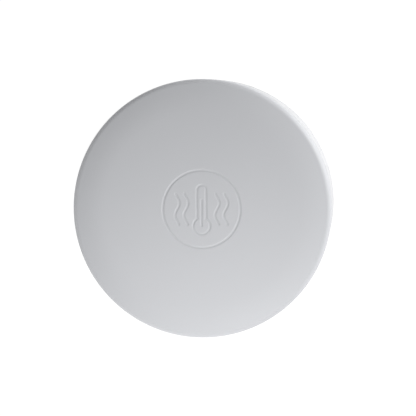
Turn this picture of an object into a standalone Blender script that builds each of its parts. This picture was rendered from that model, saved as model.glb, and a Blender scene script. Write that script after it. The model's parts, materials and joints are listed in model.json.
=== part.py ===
"""A round battery-run heat detector whose whole front disc is the test button.

The detector stands on the face that is screwed to a ceiling: the origin is the centre of that face and
+Z points out of the front disc. Lengths are in metres, written as millimetres times MM.

The stack, from the ceiling outwards: mounting base, bayonet hooks, rear cover with the battery cradle,
circuit board, deck of the body shell, ring of air slots, front cap.
"""

import math

import bmesh
import bpy
from mathutils import Matrix, Vector

MM = 0.001

# Overall
OUTER_DIAMETER = 65.0 * MM
SHELL_WALL = 1.8 * MM
FIT_GAP = 0.3 * MM  # between pieces that touch or are fixed to each other
RUNNING_GAP = 0.5 * MM  # between pieces that slide or turn past each other
SKIN_OVERLAP = 0.3 * MM  # how far a joined boss or rib is sunk into its wall
SMALL_EDGE = 0.4 * MM  # broken edges of small turned pieces
ROUND_STEPS = 60  # facets of the large round pieces
COIL_STEPS = 10  # points a turn of a coil spring
FINE_STEPS = 32
SMALL_STEPS = 16
TINY_STEPS = 10

# Mounting base
BASE_THICKNESS = 2.4 * MM
BASE_EDGE = 0.6 * MM
SCREW_SLOT_SPACING = 37.0 * MM
SCREW_SLOT_WIDTH = 4.4 * MM
SCREW_SLOT_LENGTH = 9.0 * MM
SCREW_SINK_WIDTH = 8.4 * MM
SCREW_SINK_DEPTH = 1.0 * MM

# Bayonet
BAYONET_ANGLES = (90.0, 210.0, 330.0)
HOOK_ARC = 20.0  # degrees
LEDGE_ARC = 18.0
STOP_ARC = 2.5
STOP_GAP = 1.0  # degrees between a ledge's end and the stop it meets
TWIST_ANGLE = 20.0  # turn from locked to free
HOOK_THICKNESS = 1.2 * MM
HOOK_WALL = 1.6 * MM
HOOK_CLEARANCE = 0.4 * MM  # from the hooks to the rear cover's plate
LEDGE_THICKNESS = 1.2 * MM
LEDGE_REACH = 2.3 * MM  # in from the skirt
ARC_STEP = 5.0  # degrees a facet of an arc

# Rear cover
REAR_PLATE = 1.6 * MM
BAYONET_SKIRT_WALL = 1.4 * MM
SKIRT_INSET = 1.8 * MM  # from the shell's inner wall to the bayonet skirt
REAR_LIFT = 0.8 * MM  # the shell's rear rim stays this far off the ceiling
SKIRT_LIFT = 1.2 * MM

# Battery
BATTERY_DIAMETER = 17.0 * MM
BATTERY_LENGTH = 34.5 * MM  # with its nub
BATTERY_NUB_RADIUS = 3.2 * MM
BATTERY_NUB_LENGTH = 1.0 * MM
BATTERY_STANDOFF = 0.7 * MM  # above the mounting base
BATTERY_SIDE_GAP = 0.4 * MM
BATTERY_SPRING_LENGTH = 3.2 * MM
BATTERY_SPRING_WIRE = 0.35 * MM
BATTERY_SPRING_TURNS = 3.0
BATTERY_SPRING_RADII = (3.4 * MM, 2.0 * MM)  # at the contact and at the cell
BATTERY_EDGE = 0.6 * MM
CONTACT_THICKNESS = 0.4 * MM
CONTACT_WIDTH = 9.0 * MM
CONTACT_TAIL_WIDTH = 2.4 * MM
CRADLE_WALL = 1.0 * MM

# Circuit board
BOARD_THICKNESS = 1.6 * MM
BOARD_EDGE_GAP = 2.2 * MM  # to the shell's inner wall
BOARD_POST_RADIUS = 1.2 * MM
BOARD_POST_ANGLES = (110.0, 190.0, 350.0)
BOARD_POST_INSET = 2.0 * MM  # from the board's edge
BOARD_TO_DECK = 3.1 * MM

# Screw bosses
BOSS_RADIUS = 2.6 * MM
BOSS_HOLE_RADIUS = 1.5 * MM
BOSS_ANGLES = (51.0, 129.0, 231.0, 309.0)
BOSS_TO_SOUNDER = 2.3 * MM
BOSS_HOLE_DEPTH = 12.0 * MM
SCREW_SHANK_RADIUS = 1.2 * MM
SCREW_SHANK_LENGTH = 9.0 * MM
SCREW_HEAD_RADIUS = 2.4 * MM
SCREW_HEAD_HEIGHT = 1.5 * MM
SCREW_CROSS_LENGTH = 3.4 * MM
SCREW_CROSS_WIDTH = 0.6 * MM
SCREW_CROSS_DEPTH = 0.8 * MM

# Deck, air slot and vent grille
DECK_THICKNESS = 1.6 * MM
SHELL_EDGE = 0.8 * MM
AIR_SLOT_HEIGHT = 4.2 * MM
GRILLE_WALL = 1.3 * MM
GRILLE_RAIL = 1.0 * MM

# Front cap
CAP_HEIGHT = 4.8 * MM
CAP_THICKNESS = 2.0 * MM
CAP_EDGE_RADIUS = 1.4 * MM
CAP_CROWN_WIDTH = 8.0 * MM  # the outer band of the face, which falls away towards the edge
CAP_CROWN_FALL = 0.5 * MM
CAP_CROWN_STEPS = 3
CAP_RIM_CHAMFER = 0.3 * MM
CAP_EDGE_STEPS = 4
BUTTON_TRAVEL = 0.6 * MM
MARK_RING_RADIUS = 9.7 * MM
MARK_LINE_WIDTH = 0.5 * MM
MARK_DEPTH = 0.25 * MM
MARK_BULB_RADIUS = 2.2 * MM
MARK_STEM_RADIUS = 1.1 * MM
MARK_STEM_LENGTH = 9.0 * MM

# Cap legs and springs
LEG_ANGLES = (30.0, 150.0, 270.0)
LEG_INSET = 3.4 * MM  # from the grille's inner wall to the middle of a leg
LEG_WIDTH = 4.0 * MM
LEG_THICKNESS = 1.6 * MM
LEG_BARB = 1.0 * MM
LEG_BARB_HEIGHT = 1.1 * MM
SPRING_ANGLES = (90.0, 210.0, 330.0)
SPRING_RADIUS = 1.6 * MM  # to the middle of the wire
SPRING_WIRE = 0.4 * MM
SPRING_TURNS = 4.0
SPRING_PEG_RADIUS = 0.9 * MM
SPRING_PEG_LENGTH = 1.6 * MM

# Test switch
SWITCH_ANGLE = 180.0
SWITCH_TO_SOUNDER = 3.0 * MM
SWITCH_SIDE = 6.0 * MM
SWITCH_BASE_HEIGHT = 3.2 * MM
SWITCH_COVER_THICKNESS = 0.3 * MM
PLUNGER_RADIUS = 1.6 * MM
PLUNGER_TO_CAP = 5.0 * MM  # length of the cap's nose over the plunger
NOSE_RADIUS = 1.8 * MM

# Sounder
SOUNDER_DIAMETER = 30.0 * MM
SOUNDER_HEIGHT = 6.4 * MM
SOUNDER_WALL = 1.2 * MM
SOUNDER_OUTLET_RADIUS = 2.6 * MM
SOUNDER_LEDGE = 1.2 * MM
SOUNDER_CHAMBER = 1.8 * MM
DIAPHRAGM_THICKNESS = 0.3 * MM
ELEMENT_RADIUS = 8.5 * MM
ELEMENT_THICKNESS = 0.25 * MM
LEAF_WIDTH = 1.6 * MM
LEAF_THICKNESS = 0.25 * MM
LEAF_LENGTH = 5.0 * MM
LEAF_FOOT = 0.3  # share of the leaf that lies on the board, and as much again is its pad

# Heat sensor
SENSOR_FROM_LEGS = 3.0 * MM  # nearer the axis than the cap legs
SENSOR_BEAD_RADIUS = 1.2 * MM
SENSOR_BEAD_LENGTH = 3.6 * MM
BEAD_STEPS = 8
SENSOR_LIFT = 1.6 * MM  # the bead's lower end above the deck
LEAD_RADIUS = 0.25 * MM
LEAD_PITCH = 2.54 * MM
HOLDER_RADIUS = 2.4 * MM
HOLDER_BORE_RADIUS = 0.6 * MM

# Status lamp
LAMP_ANGLE = 70.0
LAMP_TO_SOUNDER = 5.5 * MM
LAMP_RADIUS = 1.5 * MM
LAMP_HEIGHT = 3.6 * MM
LAMP_FLANGE = (0.25 * MM, 0.8 * MM)  # how far it stands out, and its height
GUIDE_RADIUS = 1.7 * MM
GUIDE_CONE_DEPTH = 1.4 * MM

# Electronic parts
CHIP_SIZE = (6.0 * MM, 6.0 * MM, 1.1 * MM)
CHIP_ANGLE = 270.0
DRIVER_SIZE = (5.0 * MM, 4.0 * MM, 1.5 * MM)
DRIVER_ANGLE = 210.0
CHIP_TO_SOUNDER = 1.5 * MM
CAPACITOR_RADIUS = 3.15 * MM
CAPACITOR_HEIGHT = 7.7 * MM
COIL_RADIUS = 3.8 * MM
COIL_CORE_RADIUS = 1.6 * MM
COIL_FLANGE = 0.8 * MM
COIL_HEIGHT = 5.0 * MM
PART_TO_CRADLE = 3.5 * MM

# Radii that follow
outer_radius = OUTER_DIAMETER / 2
shell_inner = outer_radius - SHELL_WALL
skirt_outer = shell_inner - SKIRT_INSET
skirt_inner = skirt_outer - BAYONET_SKIRT_WALL
base_radius = skirt_inner - RUNNING_GAP
ledge_inner = skirt_inner - LEDGE_REACH
hook_wall_outer = ledge_inner - RUNNING_GAP
hook_wall_inner = hook_wall_outer - HOOK_WALL
board_radius = shell_inner - BOARD_EDGE_GAP
grille_outer = shell_inner - RUNNING_GAP
leg_distance = grille_outer - GRILLE_WALL - LEG_INSET
sounder_radius = SOUNDER_DIAMETER / 2
boss_distance = sounder_radius + BOSS_TO_SOUNDER + BOSS_RADIUS
battery_radius = BATTERY_DIAMETER / 2
cradle_inner_y = battery_radius + BATTERY_SIDE_GAP
cradle_outer_y = cradle_inner_y + CRADLE_WALL
retainer_inner = sounder_radius - SOUNDER_WALL - SOUNDER_LEDGE
element_radius = min(ELEMENT_RADIUS, retainer_inner - LEAF_WIDTH - 1.5 * MM)
leaf_distances = (element_radius / 2, element_radius + 2 * FIT_GAP + LEAF_WIDTH / 2)

switch_distance = sounder_radius + SWITCH_TO_SOUNDER + SWITCH_SIDE / 2
sensor_distance = leg_distance - SENSOR_FROM_LEGS
lamp_distance = sounder_radius + LAMP_TO_SOUNDER + LAMP_RADIUS
capacitor_distance = cradle_outer_y + PART_TO_CRADLE + CAPACITOR_RADIUS
coil_distance = cradle_outer_y + PART_TO_CRADLE + COIL_RADIUS

# Heights that follow, from the ceiling outwards
ledge_bottom = BASE_THICKNESS + FIT_GAP
ledge_top = ledge_bottom + LEDGE_THICKNESS
hook_bottom = ledge_top + FIT_GAP
hook_top = hook_bottom + HOOK_THICKNESS
rear_plate_bottom = hook_top + HOOK_CLEARANCE
rear_plate_top = rear_plate_bottom + REAR_PLATE
battery_axis_z = BASE_THICKNESS + BATTERY_STANDOFF + battery_radius
cradle_floor_bottom = battery_axis_z + battery_radius + FIT_GAP
cradle_floor_top = cradle_floor_bottom + CRADLE_WALL
board_bottom = cradle_floor_top + FIT_GAP
board_top = board_bottom + BOARD_THICKNESS
on_board = board_top + FIT_GAP
under_board = board_bottom - FIT_GAP
deck_bottom = board_top + BOARD_TO_DECK
deck_top = deck_bottom + DECK_THICKNESS
cap_rim = deck_top + AIR_SLOT_HEIGHT
cap_top = cap_rim + CAP_HEIGHT
cap_underside = cap_top - CAP_THICKNESS
switch_top = on_board + SWITCH_BASE_HEIGHT + FIT_GAP + SWITCH_COVER_THICKNESS
plunger_top = cap_underside - PLUNGER_TO_CAP

# Along the battery
spring_start = BATTERY_SPRING_LENGTH + 2 * FIT_GAP
cradle_half_length = (BATTERY_LENGTH + spring_start + 2 * CONTACT_THICKNESS + 3 * FIT_GAP) / 2
contact_x = cradle_half_length - FIT_GAP - CONTACT_THICKNESS / 2
battery_end_x = contact_x - CONTACT_THICKNESS / 2 - FIT_GAP
battery_start_x = battery_end_x - BATTERY_LENGTH


def clear_scene():
    for obj in list(bpy.data.objects):
        bpy.data.objects.remove(obj, do_unlink=True)


def make_collection(name):
    made = bpy.data.collections.new(name)
    bpy.context.scene.collection.children.link(made)
    return made


def make_material(name, colour, roughness, metallic=0.0, alpha=1.0):
    material = bpy.data.materials.new(name)
    material.use_nodes = True
    shader = material.node_tree.nodes["Principled BSDF"]
    shader.inputs["Base Color"].default_value = (*colour, 1.0)
    shader.inputs["Roughness"].default_value = roughness
    shader.inputs["Metallic"].default_value = metallic
    shader.inputs["Alpha"].default_value = alpha
    return material


def on_circle(angle, distance, z=0.0):
    """A point at an angle in degrees and a distance from the Z axis."""
    turn = math.radians(angle)
    return Vector((distance * math.cos(turn), distance * math.sin(turn), z))


def turned_by(angle, place=(0.0, 0.0, 0.0)):
    return Matrix.Translation(Vector(place)) @ Matrix.Rotation(math.radians(angle), 4, "Z")


def link_mesh(name, bm, collection, material=None):
    """Turns a bmesh into an object, with its faces pointing out."""
    bmesh.ops.recalc_face_normals(bm, faces=bm.faces)
    mesh = bpy.data.meshes.new(name)
    bm.to_mesh(mesh)
    bm.free()
    obj = bpy.data.objects.new(name, mesh)
    collection.objects.link(obj)
    if material:
        mesh.materials.append(material)
    return obj


def smooth(obj, angle=35.0):
    obj.data.shade_smooth()
    obj.data.set_sharp_from_angle(angle=math.radians(angle))
    return obj


def frozen(obj, smoothing=True):
    """Replaces the object's data with its evaluated mesh, welded and facing out, and drops its modifiers."""
    bpy.context.view_layer.update()
    graph = bpy.context.evaluated_depsgraph_get()
    mesh = bpy.data.meshes.new_from_object(obj.evaluated_get(graph))
    bm = bmesh.new()
    bm.from_mesh(mesh)
    bmesh.ops.remove_doubles(bm, verts=bm.verts, dist=0.001 * MM)
    bmesh.ops.recalc_face_normals(bm, faces=bm.faces)
    bm.to_mesh(mesh)
    bm.free()
    obj.modifiers.clear()
    obj.data = mesh
    return smooth(obj) if smoothing else obj


def lathe(name, profile, material, collection, steps=ROUND_STEPS, place=(0.0, 0.0, 0.0)):
    """A turned solid. The profile is (radius, height) points; one that ends on the axis at both ends stays
    open there, and any other is a closed outline, which gives a ring."""
    on_axis = profile[0][0] == 0.0 and profile[-1][0] == 0.0
    bm = bmesh.new()
    points = [bm.verts.new((radius, 0.0, z)) for radius, z in profile]
    for start, end in zip(points, points[1:]):
        bm.edges.new((start, end))
    if not on_axis:
        bm.edges.new((points[-1], points[0]))
    mesh = bpy.data.meshes.new(name)
    bm.to_mesh(mesh)
    bm.free()
    mesh.materials.append(material)
    obj = bpy.data.objects.new(name, mesh)
    collection.objects.link(obj)
    screw = obj.modifiers.new("turn", "SCREW")
    screw.axis = "Z"
    screw.steps = steps
    screw.render_steps = steps
    screw.use_merge_vertices = True
    screw.merge_threshold = 0.005 * MM
    obj.location = place
    return frozen(obj)


def rounded(corner_x, corner_z, radius, start, end, steps):
    """Points of an arc about (corner_x, corner_z), angles in degrees from +X towards +Z."""
    angles = (math.radians(start + (end - start) * i / steps) for i in range(steps + 1))
    return [(corner_x + radius * math.cos(a), corner_z + radius * math.sin(a)) for a in angles]


def add_box(bm, size, centre, angle=0.0):
    matrix = turned_by(angle, centre) @ Matrix.Diagonal((*size, 1.0))
    bmesh.ops.create_cube(bm, size=1.0, matrix=matrix)


def add_cylinder(bm, radius, bottom, top, x=0.0, y=0.0, steps=SMALL_STEPS, top_radius=None):
    matrix = Matrix.Translation((x, y, (bottom + top) / 2))
    bmesh.ops.create_cone(
        bm, cap_ends=True, segments=steps, radius1=radius,
        radius2=radius if top_radius is None else top_radius, depth=top - bottom, matrix=matrix,
    )


def add_prism(bm, outline, depth, matrix):
    """An outline in the XZ plane drawn out along Y to depth, centred on that plane, then placed by matrix."""
    face = bm.faces.new([bm.verts.new((x, -depth / 2, z)) for x, z in outline])
    drawn = bmesh.ops.extrude_face_region(bm, geom=[face])["geom"]
    far = [v for v in drawn if isinstance(v, bmesh.types.BMVert)]
    bmesh.ops.translate(bm, verts=far, vec=(0.0, depth, 0.0))
    bmesh.ops.transform(bm, matrix=matrix, verts=list(face.verts) + far)


def add_arc(bm, section, middle, arc):
    """A section in the XZ plane swept about the Z axis through an arc of degrees about the angle middle."""
    start = math.radians(middle - arc / 2)
    turn = Matrix.Rotation(start, 4, "Z")
    face = bm.faces.new([bm.verts.new(turn @ Vector((x, 0.0, z))) for x, z in section])
    steps = max(1, round(arc / ARC_STEP))
    bmesh.ops.spin(
        bm, geom=[face, *face.edges, *face.verts], axis=(0.0, 0.0, 1.0), cent=(0.0, 0.0, 0.0),
        angle=math.radians(arc), steps=steps, use_merge=False, use_duplicate=False,
    )


def stadium(length, width, steps=6):
    """A slot's outline about the origin, length along X."""
    half = (length - width) / 2
    right = rounded(half, 0.0, width / 2, -90, 90, steps)
    left = rounded(-half, 0.0, width / 2, 90, 270, steps)
    return right + left


def add_slot(bm, length, width, bottom, top, x, y):
    """A straight slot with round ends along X, from bottom to top."""
    upright = Matrix.Translation((x, y, (bottom + top) / 2)) @ Matrix.Rotation(math.radians(90), 4, "X")
    add_prism(bm, stadium(length, width), top - bottom, upright)


def apply_boolean(target, helper, operation):
    """Joins or cuts with a helper, which stays in the cutters collection."""
    helper.hide_render = True
    helper.display_type = "WIRE"
    helper.location = target.location
    boolean = target.modifiers.new(operation.lower(), "BOOLEAN")
    boolean.operation = operation
    boolean.object = helper
    frozen(target)


def join(target, bm, name):
    apply_boolean(target, link_mesh(name, bm, cutters), "UNION")


def cut(target, bm, name):
    apply_boolean(target, link_mesh(name, bm, cutters), "DIFFERENCE")


def block(name, size, centre, material, angle=0.0, edge=0.15 * MM):
    """A small box with broken edges, such as a chip."""
    bm = bmesh.new()
    bmesh.ops.create_cube(bm, size=1.0, matrix=Matrix.Diagonal((*size, 1.0)))
    obj = link_mesh(name, bm, detector, material)
    obj.location = centre
    obj.rotation_euler.z = math.radians(angle)
    bevel = obj.modifiers.new("edges", "BEVEL")
    bevel.width = edge
    bevel.segments = 1
    return obj


def wire(name, points, radius, material, resolution=1):
    """A round wire through the points."""
    curve = bpy.data.curves.new(name, "CURVE")
    curve.dimensions = "3D"
    curve.bevel_depth = radius
    curve.bevel_resolution = resolution
    curve.use_fill_caps = True
    spline = curve.splines.new("POLY")
    spline.points.add(len(points) - 1)
    for place, point in zip(spline.points, points):
        place.co = (*point, 1.0)
    obj = bpy.data.objects.new(name, curve)
    detector.objects.link(obj)
    curve.materials.append(material)
    return obj


def mounting_base():
    """The plate that is screwed to the ceiling, with three hooks that hold the head."""
    profile = [
        (0.0, BASE_THICKNESS),
        (base_radius - BASE_EDGE, BASE_THICKNESS),
        (base_radius, BASE_THICKNESS - BASE_EDGE),
        (base_radius, 0.0),
        (0.0, 0.0),
    ]
    base = lathe("mounting_base", profile, white_plastic, detector)
    root = BASE_THICKNESS - SKIN_OVERLAP
    hook = [
        (hook_wall_inner, root),
        (hook_wall_outer, root),
        (hook_wall_outer, hook_bottom),
        (base_radius, hook_bottom),
        (base_radius, hook_top),
        (hook_wall_inner, hook_top),
    ]
    lip = [
        (hook_wall_outer - SKIN_OVERLAP, root),
        (base_radius - BASE_EDGE, root),
        (base_radius - BASE_EDGE, hook_top - SKIN_OVERLAP),
        (hook_wall_outer - SKIN_OVERLAP, hook_top - SKIN_OVERLAP),
    ]
    stop_turn = LEDGE_ARC / 2 + STOP_GAP + STOP_ARC / 2
    hooks = bmesh.new()
    locked_stops = bmesh.new()
    free_stops = bmesh.new()
    for middle in BAYONET_ANGLES:
        add_arc(hooks, hook, middle, HOOK_ARC)
        add_arc(locked_stops, lip, middle - stop_turn, STOP_ARC)
        add_arc(free_stops, lip, middle + TWIST_ANGLE + stop_turn, STOP_ARC)
    join(base, hooks, "base_hooks")
    join(base, locked_stops, "base_locked_stops")
    join(base, free_stops, "base_free_stops")
    slots = bmesh.new()
    sinks = bmesh.new()
    sink_floor = BASE_THICKNESS - SCREW_SINK_DEPTH
    sink_length = SCREW_SLOT_LENGTH + SCREW_SINK_WIDTH - SCREW_SLOT_WIDTH
    for side in (1, -1):
        y = side * SCREW_SLOT_SPACING / 2
        add_slot(slots, SCREW_SLOT_LENGTH, SCREW_SLOT_WIDTH, -MM, BASE_THICKNESS + MM, 0.0, y)
        add_slot(sinks, sink_length, SCREW_SINK_WIDTH, sink_floor, BASE_THICKNESS + MM, 0.0, y)
    cut(base, sinks, "base_screw_sinks")
    cut(base, slots, "base_screw_slots")


def body_shell():
    """The side wall of the head and the deck under the air slot, with the bosses that take the screws."""
    profile = [(sounder_radius + RUNNING_GAP, deck_top), (outer_radius - SHELL_EDGE, deck_top)]
    profile += rounded(outer_radius - SHELL_EDGE, deck_top - SHELL_EDGE, SHELL_EDGE, 90, 0, 3)[1:]
    profile += [
        (outer_radius, REAR_LIFT + SHELL_EDGE / 2),
        (outer_radius - SHELL_EDGE / 2, REAR_LIFT),
        (shell_inner, REAR_LIFT),
        (shell_inner, deck_bottom),
        (sounder_radius + RUNNING_GAP, deck_bottom),
    ]
    shell = lathe("body_shell", profile, white_plastic, detector)
    added = bmesh.new()
    in_deck = deck_bottom + SKIN_OVERLAP
    for angle in BOSS_ANGLES:
        x, y, _ = on_circle(angle, boss_distance)
        add_cylinder(added, BOSS_RADIUS, rear_plate_top + FIT_GAP, in_deck, x, y)
    for angle in BOARD_POST_ANGLES:
        x, y, _ = on_circle(angle, board_radius - BOARD_POST_INSET)
        add_cylinder(added, BOARD_POST_RADIUS, on_board, in_deck, x, y, TINY_STEPS)
    for angle in SPRING_ANGLES:
        x, y, _ = on_circle(angle, leg_distance)
        peg_top = deck_top + SPRING_PEG_LENGTH
        add_cylinder(added, SPRING_PEG_RADIUS, deck_top - SKIN_OVERLAP, peg_top, x, y, TINY_STEPS)
    join(shell, added, "shell_bosses")
    cuts = bmesh.new()
    for angle in BOSS_ANGLES:
        x, y, _ = on_circle(angle, boss_distance)
        add_cylinder(cuts, BOSS_HOLE_RADIUS, rear_plate_top, rear_plate_top + BOSS_HOLE_DEPTH, x, y)
    slot_length = LEG_THICKNESS + 2 * RUNNING_GAP
    slot_size = (slot_length, LEG_WIDTH + 2 * RUNNING_GAP, DECK_THICKNESS + 2 * MM)
    deck_middle = (deck_top + deck_bottom) / 2
    for angle in LEG_ANGLES:
        add_box(cuts, slot_size, on_circle(angle, leg_distance, deck_middle), angle)
    window = SWITCH_SIDE + 2 * RUNNING_GAP
    switch_place = on_circle(SWITCH_ANGLE, switch_distance, deck_middle)
    add_box(cuts, (window, window, DECK_THICKNESS + 2 * MM), switch_place, SWITCH_ANGLE)
    add_cylinder(cuts, HOLDER_RADIUS + RUNNING_GAP, deck_bottom - MM, deck_top + MM, sensor_distance, 0.0)
    x, y, _ = on_circle(LAMP_ANGLE, lamp_distance)
    add_cylinder(cuts, GUIDE_RADIUS + FIT_GAP, deck_bottom - MM, deck_top + MM, x, y)
    cut(shell, cuts, "shell_openings")


def rear_cover():
    """The back of the head: the bayonet skirt with its three ledges, and the cradle for the battery."""
    plate_radius = shell_inner - FIT_GAP
    profile = [
        (0.0, rear_plate_top),
        (plate_radius, rear_plate_top),
        (plate_radius, rear_plate_bottom),
        (skirt_outer, rear_plate_bottom),
        (skirt_outer, SKIRT_LIFT),
        (skirt_inner, SKIRT_LIFT),
        (skirt_inner, rear_plate_bottom),
        (0.0, rear_plate_bottom),
    ]
    cover = lathe("rear_cover", profile, white_plastic, detector)
    outer_x = cradle_half_length + CRADLE_WALL
    cradle_bottom = rear_plate_bottom + SKIN_OVERLAP
    height = cradle_floor_top - cradle_bottom
    added = bmesh.new()
    add_box(added, (2 * outer_x, 2 * cradle_outer_y, height), (0.0, 0.0, cradle_bottom + height / 2))
    ledge = [
        (ledge_inner, ledge_bottom),
        (skirt_inner + SKIN_OVERLAP, ledge_bottom),
        (skirt_inner + SKIN_OVERLAP, ledge_top),
        (ledge_inner, ledge_top),
    ]
    for middle in BAYONET_ANGLES:
        add_arc(added, ledge, middle, LEDGE_ARC)
    join(cover, added, "cover_cradle")
    cuts = bmesh.new()
    depth = cradle_floor_bottom - rear_plate_bottom + MM
    add_box(
        cuts, (2 * cradle_half_length, 2 * cradle_inner_y, depth), (0.0, 0.0, cradle_floor_bottom - depth / 2)
    )
    for angle in BOSS_ANGLES:
        x, y, _ = on_circle(angle, boss_distance)
        add_cylinder(cuts, BOSS_HOLE_RADIUS, rear_plate_bottom - MM, rear_plate_top + MM, x, y)
    cut(cover, cuts, "cover_openings")
    tails = bmesh.new()
    tail_size = (CONTACT_THICKNESS + 2 * FIT_GAP, CONTACT_TAIL_WIDTH + 2 * FIT_GAP, 4 * CRADLE_WALL)
    for side in (1, -1):
        add_box(tails, tail_size, (side * (contact_x - FIT_GAP), 0.0, cradle_floor_bottom + CRADLE_WALL / 2))
    cut(cover, tails, "cover_tail_slots")


def vent_grille():
    """The ring of bars that keeps fingers and insects out of the air slot: every second panel is open."""
    bottom = deck_top + FIT_GAP
    top = cap_underside - BUTTON_TRAVEL - RUNNING_GAP
    bm = bmesh.new()
    bmesh.ops.create_circle(bm, segments=ROUND_STEPS, radius=grille_outer)
    bmesh.ops.translate(bm, verts=bm.verts, vec=(0.0, 0.0, bottom))
    ring = list(bm.edges)
    panels = []
    for rise in (GRILLE_RAIL, top - bottom - 2 * GRILLE_RAIL, GRILLE_RAIL):
        made = bmesh.ops.extrude_edge_only(bm, edges=ring)["geom"]
        raised = [g for g in made if isinstance(g, bmesh.types.BMVert)]
        bmesh.ops.translate(bm, verts=raised, vec=(0.0, 0.0, rise))
        edges = [g for g in made if isinstance(g, bmesh.types.BMEdge)]
        ring = [e for e in edges if abs(e.verts[0].co.z - e.verts[1].co.z) < rise / 2]
        panels.append([g for g in made if isinstance(g, bmesh.types.BMFace)])
    step = 2 * math.pi / ROUND_STEPS

    def panel_number(face):
        middle = face.calc_center_median()
        return int((math.atan2(middle.y, middle.x) % (2 * math.pi)) / step)

    bmesh.ops.delete(bm, geom=[f for f in panels[1] if panel_number(f) % 2], context="FACES")
    grille = link_mesh("vent_grille", bm, detector, grey_plastic)
    wall = grille.modifiers.new("wall", "SOLIDIFY")
    wall.thickness = GRILLE_WALL
    wall.offset = -1.0
    frozen(grille)


def hook_outline(leg_top, leg_bottom):
    """A cap leg seen from the side, with the barb that catches under the deck."""
    inner = -LEG_THICKNESS / 2
    outer = LEG_THICKNESS / 2
    barb_top = deck_bottom - FIT_GAP
    return [
        (inner, leg_top),
        (inner, leg_bottom),
        (outer, leg_bottom),
        (outer + LEG_BARB, barb_top - LEG_BARB_HEIGHT / 2),
        (outer + LEG_BARB, barb_top),
        (outer, barb_top),
        (outer, leg_top),
    ]


def thermometer_outline():
    """A plain thermometer: a round bulb below a stem with a round top, about the middle of the cap."""
    bulb_y = -MARK_STEM_LENGTH / 2
    neck = math.degrees(math.asin(MARK_STEM_RADIUS / MARK_BULB_RADIUS))
    bulb = rounded(0.0, bulb_y, MARK_BULB_RADIUS, 90 + neck, 450 - neck, 14)
    stem = rounded(0.0, MARK_STEM_LENGTH / 2, MARK_STEM_RADIUS, 0, 180, 6)
    return bulb + stem


def front_cap():
    """The front disc with its skirt. It slides in against three springs, and its nose works the switch."""
    groove_outer = MARK_RING_RADIUS + MARK_LINE_WIDTH / 2
    groove_inner = MARK_RING_RADIUS - MARK_LINE_WIDTH / 2
    profile = [
        (0.0, cap_top),
        (groove_inner, cap_top),
        (groove_inner, cap_top - MARK_DEPTH),
        (groove_outer, cap_top - MARK_DEPTH),
        (groove_outer, cap_top),
    ]
    corner = outer_radius - CAP_EDGE_RADIUS
    crown_reach = CAP_CROWN_WIDTH - CAP_EDGE_RADIUS
    for step in range(CAP_CROWN_STEPS):  # the fall grows with the square of the distance into the band
        share = step / CAP_CROWN_STEPS
        profile.append((corner - crown_reach * (1 - share), cap_top - CAP_CROWN_FALL * share ** 2))
    edge_middle = cap_top - CAP_CROWN_FALL - CAP_EDGE_RADIUS
    profile += rounded(corner, edge_middle, CAP_EDGE_RADIUS, 90, 0, CAP_EDGE_STEPS)
    profile += [
        (outer_radius, cap_rim + CAP_RIM_CHAMFER),
        (outer_radius - CAP_RIM_CHAMFER, cap_rim),
        (shell_inner, cap_rim),
        (shell_inner, cap_underside),
        (0.0, cap_underside),
    ]
    cap = lathe("front_cap", profile, cap_plastic, detector)
    added = bmesh.new()
    leg_top = cap_underside + SKIN_OVERLAP
    leg_bottom = deck_bottom - FIT_GAP - LEG_BARB_HEIGHT
    for angle in LEG_ANGLES:
        matrix = turned_by(angle) @ Matrix.Translation((leg_distance, 0.0, 0.0))
        add_prism(added, hook_outline(leg_top, leg_bottom), LEG_WIDTH, matrix)
    for angle in SPRING_ANGLES:
        x, y, _ = on_circle(angle, leg_distance)
        add_cylinder(added, SPRING_PEG_RADIUS, cap_underside - SPRING_PEG_LENGTH, leg_top, x, y, TINY_STEPS)
    x, y, _ = on_circle(SWITCH_ANGLE, switch_distance)
    add_cylinder(added, NOSE_RADIUS, plunger_top + FIT_GAP, leg_top, x, y)
    join(cap, added, "cap_legs")
    mark = bmesh.new()
    flat = Matrix.Translation((0.0, 0.0, cap_top)) @ Matrix.Rotation(math.radians(-90), 4, "X")
    add_prism(mark, thermometer_outline(), 2 * MARK_DEPTH, flat)
    cut(cap, mark, "cap_mark")


def cap_springs():
    """Three coil springs between the deck and the cap, each round a peg at either end."""
    wire_radius = SPRING_WIRE / 2
    bottom = deck_top + FIT_GAP + wire_radius
    top = cap_underside - FIT_GAP - wire_radius
    count = int(SPRING_TURNS * COIL_STEPS)
    for number, angle in enumerate(SPRING_ANGLES, 1):
        centre = on_circle(angle, leg_distance)
        points = []
        for i in range(count + 1):
            share = i / count
            turn = 360 * SPRING_TURNS * share
            points.append(centre + on_circle(turn, SPRING_RADIUS, bottom + (top - bottom) * share))
        wire(f"cap_spring_{number}", points, wire_radius, spring_steel)


def circuit_board():
    profile = [(0.0, board_top), (board_radius, board_top), (board_radius, board_bottom), (0.0, board_bottom)]
    board = lathe("circuit_board", profile, board_laminate, detector)
    cuts = bmesh.new()
    for angle in BOSS_ANGLES:
        x, y, _ = on_circle(angle, boss_distance)
        add_cylinder(cuts, BOSS_RADIUS + FIT_GAP, board_bottom - MM, board_top + MM, x, y)
    for side in (1, -1):
        place = (sensor_distance, side * LEAD_PITCH / 2, TINY_STEPS)
        add_cylinder(cuts, HOLDER_BORE_RADIUS, board_bottom - MM, board_top + MM, *place)
    cut(board, cuts, "board_holes")


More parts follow.
